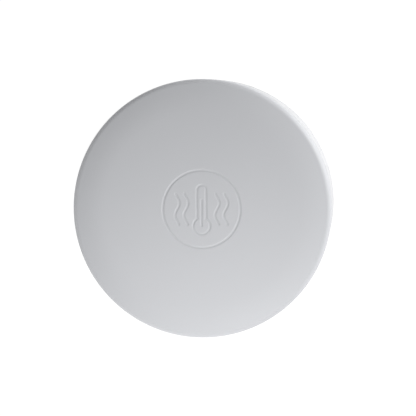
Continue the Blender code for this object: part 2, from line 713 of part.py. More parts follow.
def battery():
    """The lithium cell, lying along X in its cradle between a sprung contact and a plain one."""
    edge = BATTERY_EDGE
    body_length = BATTERY_LENGTH - BATTERY_NUB_LENGTH
    profile = [
        (0.0, BATTERY_LENGTH),
        (BATTERY_NUB_RADIUS, BATTERY_LENGTH),
        (BATTERY_NUB_RADIUS, body_length),
        (battery_radius - edge, body_length),
        (battery_radius, body_length - edge),
        (battery_radius, edge),
        (battery_radius - edge, 0.0),
        (0.0, 0.0),
    ]
    cell = lathe("battery_cell", profile, cell_wrap, detector, FINE_STEPS)
    cell.rotation_euler.y = math.radians(90)
    cell.location = (battery_start_x, 0.0, battery_axis_z)
    half = CONTACT_WIDTH / 2
    tail = CONTACT_TAIL_WIDTH / 2
    shoulder = battery_axis_z + half
    outline = [
        (-half, battery_axis_z - half),
        (half, battery_axis_z - half),
        (half, shoulder),
        (tail, shoulder),
        (tail, under_board),
        (-tail, under_board),
        (-tail, shoulder),
        (-half, shoulder),
    ]
    for name, x in (("battery_contact_positive", contact_x), ("battery_contact_negative", -contact_x)):
        bm = bmesh.new()
        add_prism(bm, outline, CONTACT_THICKNESS, Matrix.Rotation(math.radians(90), 4, "Z"))
        contact = link_mesh(name, bm, detector, nickel)
        contact.location = (x, 0.0, 0.0)
    wire_radius = BATTERY_SPRING_WIRE / 2
    start = CONTACT_THICKNESS / 2 + FIT_GAP + wire_radius - contact_x
    end = battery_start_x - FIT_GAP - wire_radius
    wide, narrow = BATTERY_SPRING_RADII
    count = int(BATTERY_SPRING_TURNS * COIL_STEPS)
    points = []
    for i in range(count + 1):
        share = i / count
        y, z, _ = on_circle(360 * BATTERY_SPRING_TURNS * share, wide + (narrow - wide) * share)
        points.append(Vector((start + (end - start) * share, y, z + battery_axis_z)))
    wire("battery_spring", points, wire_radius, nickel)


def sounder():
    """The piezo sounder on the middle of the board: its resonator, brass disc, ceramic and retaining ring."""
    top = on_board + SOUNDER_HEIGHT
    inner = sounder_radius - SOUNDER_WALL
    ledge_z = top - SOUNDER_WALL - SOUNDER_CHAMBER
    edge = SMALL_EDGE
    profile = [
        (SOUNDER_OUTLET_RADIUS, top),
        (sounder_radius - edge, top),
        (sounder_radius, top - edge),
        (sounder_radius, on_board),
        (inner, on_board),
        (inner, ledge_z),
        (retainer_inner, ledge_z),
        (retainer_inner, top - SOUNDER_WALL),
        (SOUNDER_OUTLET_RADIUS, top - SOUNDER_WALL),
    ]
    lathe("sounder_housing", profile, black_plastic, detector, FINE_STEPS)
    disc_top = ledge_z - FIT_GAP
    disc_bottom = disc_top - DIAPHRAGM_THICKNESS
    disc_radius = inner - FIT_GAP
    element_top = disc_bottom - FIT_GAP
    element_bottom = element_top - ELEMENT_THICKNESS
    for name, radius, high, low, material in (
        ("sounder_diaphragm", disc_radius, disc_top, disc_bottom, brass),
        ("sounder_element", element_radius, element_top, element_bottom, ceramic),
    ):
        lathe(name, [(0.0, high), (radius, high), (radius, low), (0.0, low)], material, detector, FINE_STEPS)
    ring = [
        (retainer_inner, element_top),
        (disc_radius, element_top),
        (disc_radius, on_board),
        (retainer_inner, on_board),
    ]
    lathe("sounder_retainer", ring, black_plastic, detector, FINE_STEPS)
    touch = (element_bottom, disc_bottom)
    for number, (distance, height) in enumerate(zip(leaf_distances, touch), 1):
        leaf(f"sounder_contact_{number}", distance, height - FIT_GAP)


def leaf(name, distance, top):
    """A bent spring strip that stands on the board and presses up: foot, slope and pad."""
    low = on_board
    t = LEAF_THICKNESS
    foot = LEAF_LENGTH * LEAF_FOOT
    pad = LEAF_LENGTH - foot
    outline = [
        (0.0, low),
        (foot, low),
        (pad, top - t),
        (LEAF_LENGTH, top - t),
        (LEAF_LENGTH, top),
        (pad, top),
        (foot, low + t),
        (0.0, low + t),
    ]
    bm = bmesh.new()
    add_prism(bm, [(x - LEAF_LENGTH / 2, z) for x, z in outline], LEAF_WIDTH, Matrix.Identity(4))
    obj = link_mesh(name, bm, detector, nickel)
    obj.location = (0.0, -distance, 0.0)


def test_switch():
    """The push switch under the cap's nose: moulded base, steel cover plate and the plunger that moves."""
    x, y, _ = on_circle(SWITCH_ANGLE, switch_distance)
    base_top = on_board + SWITCH_BASE_HEIGHT
    well = PLUNGER_RADIUS + FIT_GAP
    well_floor = base_top - BUTTON_TRAVEL - 2 * FIT_GAP
    side = SWITCH_SIDE
    base = block("switch_base", (side, side, SWITCH_BASE_HEIGHT), (0, 0, 0), black_plastic)
    frozen(base)
    hole = bmesh.new()
    add_cylinder(hole, well, well_floor - on_board - SWITCH_BASE_HEIGHT / 2, SWITCH_BASE_HEIGHT)
    cut(base, hole, "switch_well")
    base.location = (x, y, on_board + SWITCH_BASE_HEIGHT / 2)
    cover = block("switch_cover", (side, side, SWITCH_COVER_THICKNESS), (0, 0, 0), nickel, edge=0.05 * MM)
    frozen(cover)
    hole = bmesh.new()
    add_cylinder(hole, well, -MM, MM)
    cut(cover, hole, "switch_cover_hole")
    cover.location = (x, y, switch_top - SWITCH_COVER_THICKNESS / 2)
    plunger_bottom = well_floor + BUTTON_TRAVEL + FIT_GAP
    length = plunger_top - plunger_bottom
    edge = SMALL_EDGE
    profile = [
        (0.0, length),
        (PLUNGER_RADIUS - edge, length),
        (PLUNGER_RADIUS, length - edge),
        (PLUNGER_RADIUS, 0.0),
        (0.0, 0.0),
    ]
    lathe("switch_plunger", profile, black_plastic, detector, SMALL_STEPS, (x, y, plunger_bottom))


def heat_sensor():
    """A glass thermistor bead held up in the air slot on two leads, which a plastic holder keeps straight."""
    bead_bottom = deck_top + SENSOR_LIFT
    middle = bead_bottom + SENSOR_BEAD_LENGTH / 2
    stretch = SENSOR_BEAD_LENGTH / 2 / SENSOR_BEAD_RADIUS
    profile = [(r, z * stretch) for r, z in rounded(0.0, 0.0, SENSOR_BEAD_RADIUS, 90, -90, BEAD_STEPS)]
    profile[0] = (0.0, profile[0][1])
    profile[-1] = (0.0, profile[-1][1])
    lathe("thermistor_bead", profile, bead_epoxy, detector, SMALL_STEPS, (sensor_distance, 0.0, middle))
    for number, side in enumerate((1, -1), 1):
        y = side * LEAD_PITCH / 2
        bend = deck_top + SENSOR_LIFT / 3
        near = side * (LEAD_RADIUS + FIT_GAP / 2)
        points = [
            (sensor_distance, y, board_bottom + FIT_GAP),
            (sensor_distance, y, bend),
            (sensor_distance, (y + near) / 2, bend + SENSOR_LIFT / 4),
            (sensor_distance, near, bead_bottom - FIT_GAP),
        ]
        wire(f"thermistor_lead_{number}", points, LEAD_RADIUS, nickel)
    profile = [(0.0, deck_top), (HOLDER_RADIUS, deck_top), (HOLDER_RADIUS, on_board), (0.0, on_board)]
    holder = lathe("thermistor_holder", profile, black_plastic, detector, SMALL_STEPS)
    bores = bmesh.new()
    for side in (1, -1):
        y = side * LEAD_PITCH / 2
        add_cylinder(bores, HOLDER_BORE_RADIUS, on_board - MM, deck_top + MM, 0.0, y, TINY_STEPS)
    cut(holder, bores, "holder_bores")
    holder.location = (sensor_distance, 0.0, 0.0)


def status_lamp():
    """A small lamp on the board and the clear rod that carries its light up to the air slot."""
    x, y, _ = on_circle(LAMP_ANGLE, lamp_distance)
    dome = rounded(0.0, LAMP_HEIGHT - LAMP_RADIUS, LAMP_RADIUS, 90, 0, 4)
    dome[0] = (0.0, LAMP_HEIGHT)
    rim = LAMP_RADIUS + LAMP_FLANGE[0]
    profile = dome + [(LAMP_RADIUS, LAMP_FLANGE[1]), (rim, LAMP_FLANGE[1]), (rim, 0.0), (0.0, 0.0)]
    lathe("status_lamp", profile, lamp_resin, detector, SMALL_STEPS, (x, y, on_board))
    bottom = max(on_board + LAMP_HEIGHT, deck_bottom) + FIT_GAP
    length = cap_underside - BUTTON_TRAVEL - RUNNING_GAP - bottom
    profile = [
        (0.0, length - GUIDE_CONE_DEPTH),
        (GUIDE_RADIUS, length),
        (GUIDE_RADIUS, 0.0),
        (0.0, 0.0),
    ]
    lathe("light_guide", profile, clear_acrylic, detector, SMALL_STEPS, (x, y, bottom))


def electronics():
    """The larger parts on the board: two chips in front, and the capacitor and boost coil behind it."""
    for name, size, angle in (
        ("microcontroller", CHIP_SIZE, CHIP_ANGLE),
        ("driver_chip", DRIVER_SIZE, DRIVER_ANGLE),
    ):
        distance = sounder_radius + CHIP_TO_SOUNDER + size[0] / 2
        block(name, size, on_circle(angle, distance, on_board + size[2] / 2), black_plastic, angle)
    edge = SMALL_EDGE
    low = -CAPACITOR_HEIGHT
    profile = [
        (0.0, 0.0),
        (CAPACITOR_RADIUS, 0.0),
        (CAPACITOR_RADIUS, low + edge),
        (CAPACITOR_RADIUS - edge, low),
        (0.0, low),
    ]
    place = (0.0, capacitor_distance, under_board)
    lathe("capacitor", profile, can_aluminium, detector, SMALL_STEPS, place)
    low = -COIL_HEIGHT
    core = [
        (0.0, 0.0),
        (COIL_RADIUS, 0.0),
        (COIL_RADIUS, -COIL_FLANGE),
        (COIL_CORE_RADIUS, -COIL_FLANGE),
        (COIL_CORE_RADIUS, low + COIL_FLANGE),
        (COIL_RADIUS, low + COIL_FLANGE),
        (COIL_RADIUS, low),
        (0.0, low),
    ]
    place = (0.0, -coil_distance, under_board)
    lathe("boost_coil_core", core, ferrite, detector, SMALL_STEPS, place)
    winding = [
        (COIL_CORE_RADIUS + FIT_GAP, -COIL_FLANGE - FIT_GAP),
        (COIL_RADIUS - FIT_GAP, -COIL_FLANGE - FIT_GAP),
        (COIL_RADIUS - FIT_GAP, low + COIL_FLANGE + FIT_GAP),
        (COIL_CORE_RADIUS + FIT_GAP, low + COIL_FLANGE + FIT_GAP),
    ]
    lathe("boost_coil_winding", winding, copper, detector, SMALL_STEPS, place)


def housing_screws():
    """Four pan-head screws, driven from the back into the shell's bosses. Each is drawn head down."""
    seat = rear_plate_bottom - FIT_GAP
    edge = SMALL_EDGE
    profile = [
        (0.0, SCREW_SHANK_LENGTH),
        (SCREW_SHANK_RADIUS / 2, SCREW_SHANK_LENGTH),
        (SCREW_SHANK_RADIUS, SCREW_SHANK_LENGTH - MM),
        (SCREW_SHANK_RADIUS, 0.0),
        (SCREW_HEAD_RADIUS, 0.0),
        (SCREW_HEAD_RADIUS, edge - SCREW_HEAD_HEIGHT),
        (SCREW_HEAD_RADIUS - edge, -SCREW_HEAD_HEIGHT),
        (0.0, -SCREW_HEAD_HEIGHT),
    ]
    for number, angle in enumerate(BOSS_ANGLES, 1):
        screw = lathe(f"housing_screw_{number}", profile, screw_steel, detector, SMALL_STEPS)
        recess = bmesh.new()
        slot = (SCREW_CROSS_LENGTH, SCREW_CROSS_WIDTH, 2 * SCREW_CROSS_DEPTH)
        add_box(recess, slot, (0.0, 0.0, -SCREW_HEAD_HEIGHT))
        cut(screw, recess, f"screw_slot_{number}")
        recess = bmesh.new()
        add_box(recess, slot, (0.0, 0.0, -SCREW_HEAD_HEIGHT), 90.0)
        cut(screw, recess, f"screw_cross_{number}")
        screw.location = on_circle(angle, boss_distance, seat)


def parent_to_axes():
    """Hangs each moving piece from an empty on its joint's axis: the head turns on the base, and the cap and
    the switch plunger slide in the head."""
    fixed = {"mounting_base"}
    sliding = {"front_cap", "switch_plunger"}
    axes = {}
    for name in ("head_turn_axis", "cap_slide_axis"):
        axes[name] = bpy.data.objects.new(name, None)
        detector.objects.link(axes[name])
    axes["cap_slide_axis"].parent = axes["head_turn_axis"]
    for obj in detector.objects:
        if obj.type == "EMPTY" or obj.name in fixed:
            continue
        obj.parent = axes["cap_slide_axis" if obj.name in sliding else "head_turn_axis"]


clear_scene()
detector = make_collection("heat_detector")
cutters = make_collection("cutters")

cap_plastic = make_material("cap_plastic", (0.74, 0.74, 0.75), 0.45)
white_plastic = make_material("white_plastic", (0.72, 0.72, 0.73), 0.5)
grey_plastic = make_material("grey_plastic", (0.55, 0.55, 0.56), 0.55)
black_plastic = make_material("black_plastic", (0.03, 0.03, 0.03), 0.5)
board_laminate = make_material("board_laminate", (0.03, 0.18, 0.07), 0.4)
cell_wrap = make_material("cell_wrap", (0.1, 0.16, 0.32), 0.35)
nickel = make_material("nickel", (0.72, 0.7, 0.66), 0.3, 1.0)
spring_steel = make_material("spring_steel", (0.6, 0.6, 0.6), 0.3, 1.0)
screw_steel = make_material("screw_steel", (0.5, 0.5, 0.5), 0.35, 1.0)
brass = make_material("brass", (0.75, 0.56, 0.24), 0.35, 1.0)
copper = make_material("copper", (0.72, 0.32, 0.16), 0.4, 1.0)
ceramic = make_material("ceramic", (0.7, 0.68, 0.62), 0.5)
ferrite = make_material("ferrite", (0.08, 0.08, 0.08), 0.6)
can_aluminium = make_material("can_aluminium", (0.75, 0.75, 0.76), 0.35, 1.0)
bead_epoxy = make_material("bead_epoxy", (0.02, 0.02, 0.02), 0.25)
lamp_resin = make_material("lamp_resin", (0.7, 0.1, 0.08), 0.15, 0.0, 0.7)
clear_acrylic = make_material("clear_acrylic", (0.9, 0.92, 0.93), 0.08, 0.0, 0.4)

mounting_base()
rear_cover()
body_shell()
vent_grille()
front_cap()
cap_springs()
circuit_board()
battery()
sounder()
test_switch()
heat_sensor()
status_lamp()
electronics()
housing_screws()
parent_to_axes()
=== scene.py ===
# Looks for a round heat detector whose whole front disc is the test button.
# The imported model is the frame; everything here is built round it, in metres, +Z out of the front disc.
import json
import math

import bmesh
import bpy
import numpy as np
from mathutils import Matrix, Vector


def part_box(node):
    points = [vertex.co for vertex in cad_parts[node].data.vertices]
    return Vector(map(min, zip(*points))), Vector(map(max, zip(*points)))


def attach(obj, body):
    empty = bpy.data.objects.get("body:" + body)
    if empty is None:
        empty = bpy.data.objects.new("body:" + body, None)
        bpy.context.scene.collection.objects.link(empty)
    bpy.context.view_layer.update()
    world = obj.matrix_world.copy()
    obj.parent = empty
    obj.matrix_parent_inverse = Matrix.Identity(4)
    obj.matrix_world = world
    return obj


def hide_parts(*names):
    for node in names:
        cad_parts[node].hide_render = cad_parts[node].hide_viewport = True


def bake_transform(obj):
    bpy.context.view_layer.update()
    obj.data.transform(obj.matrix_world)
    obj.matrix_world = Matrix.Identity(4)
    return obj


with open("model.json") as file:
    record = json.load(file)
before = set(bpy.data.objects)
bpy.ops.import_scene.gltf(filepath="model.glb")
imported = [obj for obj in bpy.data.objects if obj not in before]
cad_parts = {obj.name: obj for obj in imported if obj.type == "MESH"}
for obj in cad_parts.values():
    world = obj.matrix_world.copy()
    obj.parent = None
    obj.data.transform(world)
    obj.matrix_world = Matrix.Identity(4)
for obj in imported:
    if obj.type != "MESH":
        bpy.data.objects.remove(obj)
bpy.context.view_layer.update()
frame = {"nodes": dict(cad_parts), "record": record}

mm = 0.001
tau = 2 * np.pi
mergeDistance = 0.0002 * mm
sharpAngle = 38                                  # degrees
print("stage: frame loaded,", len(frame["nodes"]), "nodes")


def meshFromGrid(name, grid, wrapRows=True, wrapColumns=False):
    # Point (i, j) of the grid makes a four-sided face with the next point of its row and of its column.
    # A wrapped direction joins its last points to its first; points that meet are merged.
    rows, columns = grid.shape[:2]
    i, j = np.meshgrid(np.arange(rows if wrapRows else rows - 1),
                       np.arange(columns if wrapColumns else columns - 1), indexing="ij")
    nextI, nextJ = (i + 1) % rows, (j + 1) % columns
    corners = (i * columns + j, nextI * columns + j, nextI * columns + nextJ, i * columns + nextJ)
    return meshFromFaces(name, grid.reshape(-1, 3), np.stack(corners, -1).reshape(-1, 4))


def meshFromFaces(name, points, faces):
    # Whole arrays of points and four-sided faces go straight into the mesh, which is then cleaned.
    mesh = bpy.data.meshes.new(name)
    mesh.vertices.add(len(points))
    mesh.vertices.foreach_set("co", np.ascontiguousarray(points, np.float32).ravel())
    mesh.loops.add(faces.size)
    mesh.loops.foreach_set("vertex_index", np.ascontiguousarray(faces, np.int32).ravel())
    mesh.polygons.add(len(faces))
    mesh.polygons.foreach_set("loop_start", np.arange(len(faces), dtype=np.int32) * faces.shape[1])
    mesh.update(calc_edges=True)
    piece = bpy.data.objects.new(name, mesh)
    bpy.context.scene.collection.objects.link(piece)
    return cleaned(piece)


def cleaned(piece):
    # Merges points that lie on each other, drops faces that have shrunk to nothing, and turns the rest out.
    bm = bmesh.new()
    bm.from_mesh(piece.data)
    bmesh.ops.remove_doubles(bm, verts=bm.verts, dist=mergeDistance)
    bmesh.ops.dissolve_degenerate(bm, edges=bm.edges, dist=mergeDistance)
    bmesh.ops.recalc_face_normals(bm, faces=bm.faces)
    bm.to_mesh(piece.data)
    bm.free()
    piece.data.shade_smooth()
    return piece


def filletOutline(corners, steps=5):
    # Each corner (across, height, radius) becomes an arc that touches both of its sides: the arc's points are
    # the two touching points blended by sines of the angle, about the arc's centre. A guard point close to
    # each end keeps the flat beyond it shading flat.
    parts = []
    guard = 0.04 * mm
    for k, (across, height, radius) in enumerate(corners):
        here = np.array((across, height))
        before = np.array(corners[k - 1][:2]) - here
        after = np.array(corners[(k + 1) % len(corners)][:2]) - here
        if radius == 0:
            parts.append(here[None])
            continue
        before, after = before / np.linalg.norm(before), after / np.linalg.norm(after)
        half = np.arccos(np.clip(before @ after, -1, 1)) / 2
        reach = radius / np.tan(half)
        centre = here + (before + after) / np.linalg.norm(before + after) * radius / np.sin(half)
        first, last = here + before * reach - centre, here + after * reach - centre
        sweep = np.pi - 2 * half
        t = np.linspace(0, 1, steps + 1)[:, None]
        arc = centre + (np.sin((1 - t) * sweep) * first + np.sin(t * sweep) * last) / np.sin(sweep)
        parts.append(np.vstack((arc[:1] + before * guard, arc, arc[-1:] + after * guard)))
    return np.vstack(parts)


def turned(name, outline, steps=180, place=(0, 0, 0), closed=True):
    # A profile of (radius, height) points carried round the Z axis: x = r cos a, y = r sin a, z = height.
    angle = np.linspace(0, tau, steps, endpoint=False)[:, None]
    radius, height = outline[:, 0][None], outline[:, 1][None]
    grid = np.stack((radius * np.cos(angle), radius * np.sin(angle), height + 0 * angle), -1)
    return meshFromGrid(name, grid + np.array(place), wrapColumns=closed)


def turnedSolid(name, corners, steps=180, place=(0, 0, 0), filletSteps=5):
    # A turned solid whose first and last corners lie on the axis.
    return turned(name, filletOutline(corners, filletSteps), steps, place, closed=False)


def sweptArc(name, corners, middle, arc, hub=None, steps=24, filletSteps=3):
    # An outline of (radius, height) points carried through part of a turn about the Z axis. Each end closes
    # on the hub, a point from which the whole outline can be seen.
    outline = filletOutline(corners, filletSteps)
    hub = outline.mean(0) if hub is None else hub
    angle = np.radians(middle + np.linspace(-arc / 2, arc / 2, steps + 1))
    angle = np.concatenate((angle[:1], angle, angle[-1:]))[:, None]
    radius = np.repeat(outline[None, :, 0], len(angle), 0)
    height = np.repeat(outline[None, :, 1], len(angle), 0)
    for end in (0, -1):
        radius[end], height[end] = hub
    grid = np.stack((radius * np.cos(angle), radius * np.sin(angle), height), -1)
    return meshFromGrid(name, grid, wrapRows=False, wrapColumns=True)


def roundedRectangle(width, depth, corner, steps=5):
    # Four quarter circles about the corners' centres: centre + radius (cos a, sin a), joined in turn.
    quarter = np.linspace(0, np.pi / 2, steps + 1)
    signs = ((1, 1), (-1, 1), (-1, -1), (1, -1))
    parts = []
    for k, (sx, sy) in enumerate(signs):
        angle = quarter + k * np.pi / 2
        parts.append(np.stack((sx * (width / 2 - corner) + corner * np.cos(angle),
                               sy * (depth / 2 - corner) + corner * np.sin(angle)), -1))
    return np.vstack(parts)


def roundedBlock(name, size, centre, corner, edge, angle=0.0, steps=4):
    # A rounded rectangle stacked up in height. Near the top and bottom it shrinks by edge (1 - cos t) while
    # it rises by edge sin t, and the end rows close on the middle.
    width, depth, height = size
    t = np.linspace(0, np.pi / 2, steps + 1)
    guard = edge + min(0.05 * mm, edge / 2)
    inset = np.concatenate(((guard,), edge * (1 - np.sin(t)), edge * (1 - np.cos(t)), (guard,)))
    rise = edge * (1 - np.cos(t)) - height / 2
    z = np.concatenate((rise[:1], rise, -rise[::-1], -rise[:1]))
    rows = []
    for shrink, level in zip(inset, z):
        ring = roundedRectangle(width - 2 * shrink, depth - 2 * shrink, max(corner - shrink, 0.01 * mm))
        rows.append(np.c_[ring, np.full(len(ring), level)])
    ends = [row * (0, 0, 1) for row in (rows[0], rows[-1])]
    grid = np.stack([ends[0], *rows, ends[1]])
    turn = math.radians(angle)
    spin = np.array(((math.cos(turn), math.sin(turn), 0), (-math.sin(turn), math.cos(turn), 0), (0, 0, 1)))
    return meshFromGrid(name, grid @ spin + np.array(centre), wrapRows=False, wrapColumns=True)


def tubeAlong(name, path, radius, sides=10):
    # A circle carried along a path: at each point the ring lies across the path's direction, on two unit
    # vectors at right angles to it. The ends close on the path's own end points.
    path = np.asarray(path, float)
    along = np.gradient(path, axis=0)
    along /= np.linalg.norm(along, axis=1)[:, None]
    helper = np.array((0.0, 0.0, 1.0)) if abs(along[:, 2]).max() < 0.8 else np.array((1.0, 0.02, 0.0))
    across = np.cross(along, helper)
    across /= np.linalg.norm(across, axis=1)[:, None]
    up = np.cross(across, along)
    angle = np.linspace(0, tau, sides, endpoint=False)[None, :, None]
    size = np.broadcast_to(np.asarray(radius, float).reshape(-1, 1, 1), (len(path), 1, 1))
    rings = path[:, None] + size * (across[:, None] * np.cos(angle) + up[:, None] * np.sin(angle))
    caps = np.repeat(path[[0, -1], None], sides, 1)
    return meshFromGrid(name, np.concatenate((caps[:1], rings, caps[1:])), wrapRows=False, wrapColumns=True)


def applied(piece):
    # Turns what the modifiers make into the piece's own mesh.
    bpy.context.view_layer.update()
    graph = bpy.context.evaluated_depsgraph_get()
    piece.data = bpy.data.meshes.new_from_object(piece.evaluated_get(graph))
    piece.modifiers.clear()
    return sharpen(cleaned(piece))


def carve(piece, tools, operation="DIFFERENCE"):
    # Cuts tools that stand apart from each other out of a piece, or joins them to it.
    tool = joined("carvingTool", tools)
    carving = piece.modifiers.new("carve", "BOOLEAN")
    carving.operation = operation
    carving.object = tool
    applied(piece)
    bpy.data.objects.remove(tool)
    return piece


def sharpen(piece):
    # Edges that bend by more than the sharp angle are shaded as edges, all others as round.
    piece.data.set_sharp_from_angle(angle=math.radians(sharpAngle))
    return piece


def softened(piece, width, segments=2):
    # Breaks the sharp edges of a piece.
    bevel = piece.modifiers.new("edges", "BEVEL")
    bevel.width = width
    bevel.segments = segments
    bevel.limit_method = "ANGLE"
    bevel.angle_limit = math.radians(sharpAngle)
    return applied(piece)


def moved(piece, matrix):
    # Puts a piece in place by moving its points, so that its object stays at the origin.
    piece.data.transform(matrix)
    return piece


def upright(angle=0.0, place=(0, 0, 0)):
    # Stands a flat outline up: its second direction becomes the height. Then it is turned and moved.
    stand = Matrix.Rotation(math.radians(90), 4, "X")
    return Matrix.Translation(place) @ Matrix.Rotation(math.radians(angle), 4, "Z") @ stand


def prism(name, outline, depth, matrix, edge=0.0):
    # A flat outline drawn out through a depth, half to each side: the same points at two levels, each level
    # closed with one face and the two joined by a band.
    count = len(outline)
    levels = np.repeat((-depth / 2, depth / 2), count)
    points = np.c_[np.tile(outline, (2, 1)), levels]
    low = np.arange(count)
    following = np.roll(low, -1)
    band = np.stack((low, following, following + count, low + count), -1)
    mesh = bpy.data.meshes.new(name)
    mesh.from_pydata(points, [], [low[::-1].tolist(), (low + count).tolist(), *band.tolist()])
    piece = bpy.data.objects.new(name, mesh)
    bpy.context.scene.collection.objects.link(piece)
    sharpen(moved(cleaned(piece), matrix))
    return softened(piece, edge) if edge else piece


def copied(piece, name, shift):
    # The same shape again, moved along.
    twin = bpy.data.objects.new(name, piece.data.copy())
    bpy.context.scene.collection.objects.link(twin)
    return moved(twin, Matrix.Translation(shift))


def joined(name, pieces):
    # Several loose solids become one piece.
    bm = bmesh.new()
    for piece in pieces:
        bm.from_mesh(piece.data)
        bpy.data.objects.remove(piece)
    mesh = bpy.data.meshes.new(name)
    bm.to_mesh(mesh)
    bm.free()
    mesh.shade_smooth()
    made = bpy.data.objects.new(name, mesh)
    bpy.context.scene.collection.objects.link(made)
    return made


def onCircle(angle, distance):
    # The point at an angle in degrees on a circle about the Z axis: distance (cos a, sin a).
    turn = math.radians(angle)
    return distance * math.cos(turn), distance * math.sin(turn)


def dress(piece, body, slotName, *nodes):
    # Gives a piece its finish and the body it moves with, and hides the imported nodes that it stands for.
    piece.data.materials.clear()
    piece.data.materials.append(finishes[slotName])
    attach(piece, body)
    if nodes:
        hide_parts(*nodes)
    return piece


class Nodes:
    # A short way to add shader nodes and join them.
    def __init__(self, name):
        self.material = bpy.data.materials.new(name)
        self.material.use_nodes = True
        self.tree = self.material.node_tree
        self.shader = self.tree.nodes["Principled BSDF"]
        self.place = self.add("ShaderNodeTexCoord").outputs["Object"]

    def add(self, kind, **values):
        node = self.tree.nodes.new(kind)
        for key, value in values.items():
            setattr(node, key, value)
        return node

    def join(self, source, target):
        self.tree.links.new(source, target)

    def noise(self, scale, detail=2.0, rough=0.5, stretch=(1, 1, 1)):
        # Soft random values between 0 and 1; a stretch below 1 draws them out along that axis.
        mapping = self.add("ShaderNodeMapping")
        mapping.inputs["Scale"].default_value = stretch
        self.join(self.place, mapping.inputs["Vector"])
        noise = self.add("ShaderNodeTexNoise")
        noise.inputs["Scale"].default_value = scale
        noise.inputs["Detail"].default_value = detail
        noise.inputs["Roughness"].default_value = rough
        self.join(mapping.outputs["Vector"], noise.inputs["Vector"])
        return noise.outputs["Fac"]

    def ramp(self, source, stops):
        ramp = self.add("ShaderNodeValToRGB")
        elements = ramp.color_ramp.elements
        while len(elements) < len(stops):
            elements.new(0.5)
        for element, (position, colour) in zip(elements, stops):
            element.position = position
            element.color = (*colour, 1)
        self.join(source, ramp.inputs["Fac"])
        return ramp.outputs["Color"]

    def span(self, source, low, high, fromLow=0.0, fromHigh=1.0):
        change = self.add("ShaderNodeMapRange")
        for key, value in (("From Min", fromLow), ("From Max", fromHigh), ("To Min", low), ("To Max", high)):
            change.inputs[key].default_value = value
        self.join(source, change.inputs["Value"])
        return change.outputs["Result"]

    def mixed(self, share, first, second):
        mix = self.add("ShaderNodeMix", data_type="RGBA")
        self.join(share, mix.inputs["Factor"])
        for socket, value in ((mix.inputs[6], first), (mix.inputs[7], second)):
            if isinstance(value, tuple):
                socket.default_value = (*value, 1)
            else:
                self.join(value, socket)
        return mix.outputs[2]

    def bump(self, source, depth, strength=1.0, onto=None):
        bump = self.add("ShaderNodeBump")
        bump.inputs["Strength"].default_value = strength
        bump.inputs["Distance"].default_value = depth
        self.join(source, bump.inputs["Height"])
        if onto is not None:
            self.join(onto, bump.inputs["Normal"])
        return bump.outputs["Normal"]

    def finish(self, colour=None, roughness=None, normal=None, **values):
        for key, source in (("Base Color", colour), ("Roughness", roughness), ("Normal", normal)):
            if source is not None:
                self.join(source, self.shader.inputs[key])
        for key, value in values.items():
            self.shader.inputs[key.replace("_", " ")].default_value = value
        return self.material


def shade(colour, factor):
    # The same colour, lighter or darker.
    return tuple(min(1.0, channel * factor) for channel in colour)


def mouldedPlastic(name, colour, rough=0.42, grainSize=0.24, grainDepth=0.010, tint=0.015, coat=0.0):
    # Spark-textured mould: a fine grain in the surface, faint flow clouds in the colour and the gloss.
    n = Nodes(name)
    clouds = n.noise(45, 3)
    grain = n.noise(1 / (grainSize * mm), 2, 0.6)
    tone = n.mixed(clouds, shade(colour, 1 - tint), shade(colour, 1 + tint))
    gloss = n.span(clouds, rough - 0.04, rough + 0.04, 0.3, 0.7)
    return n.finish(tone, gloss, n.bump(grain, grainDepth * mm), IOR=1.46, Coat_Weight=coat)


def drawnMetal(name, colour, rough=0.28, stretch=(1, 1, 0.06), lineSize=0.08, metallic=1.0, stain=0.12):
    # Fine parallel lines from drawing or rolling, and slow patches of duller metal.
    n = Nodes(name)
    lines = n.noise(1 / (lineSize * mm), 2, 0.6, stretch)
    patches = n.noise(260, 3)
    tone = n.mixed(patches, shade(colour, 1 - stain), shade(colour, 1 + stain / 3))
    gloss = n.span(lines, rough - 0.07, rough + 0.12, 0.3, 0.7)
    return n.finish(tone, gloss, n.bump(lines, 0.003 * mm, 0.5), Metallic=metallic)


def tracks(n, turn):
    # Long thin bricks whose joints are the copper tracks, laid at a turn about the board's axis.
    mapping = n.add("ShaderNodeMapping")
    mapping.inputs["Rotation"].default_value = (0, 0, math.radians(turn))
    n.join(n.place, mapping.inputs["Vector"])
    bricks = n.add("ShaderNodeTexBrick", offset=0.37, squash=1.0)
    for key, value in (("Scale", 1 / mm), ("Brick Width", 5.5), ("Row Height", 0.62), ("Mortar Size", 0.1),
                       ("Mortar Smooth", 0.1), ("Color1", (0, 0, 0, 1)), ("Color2", (0, 0, 0, 1)),
                       ("Mortar", (1, 1, 1, 1))):
        bricks.inputs[key].default_value = value
    n.join(mapping.outputs["Vector"], bricks.inputs["Vector"])
    return bricks.outputs["Color"]


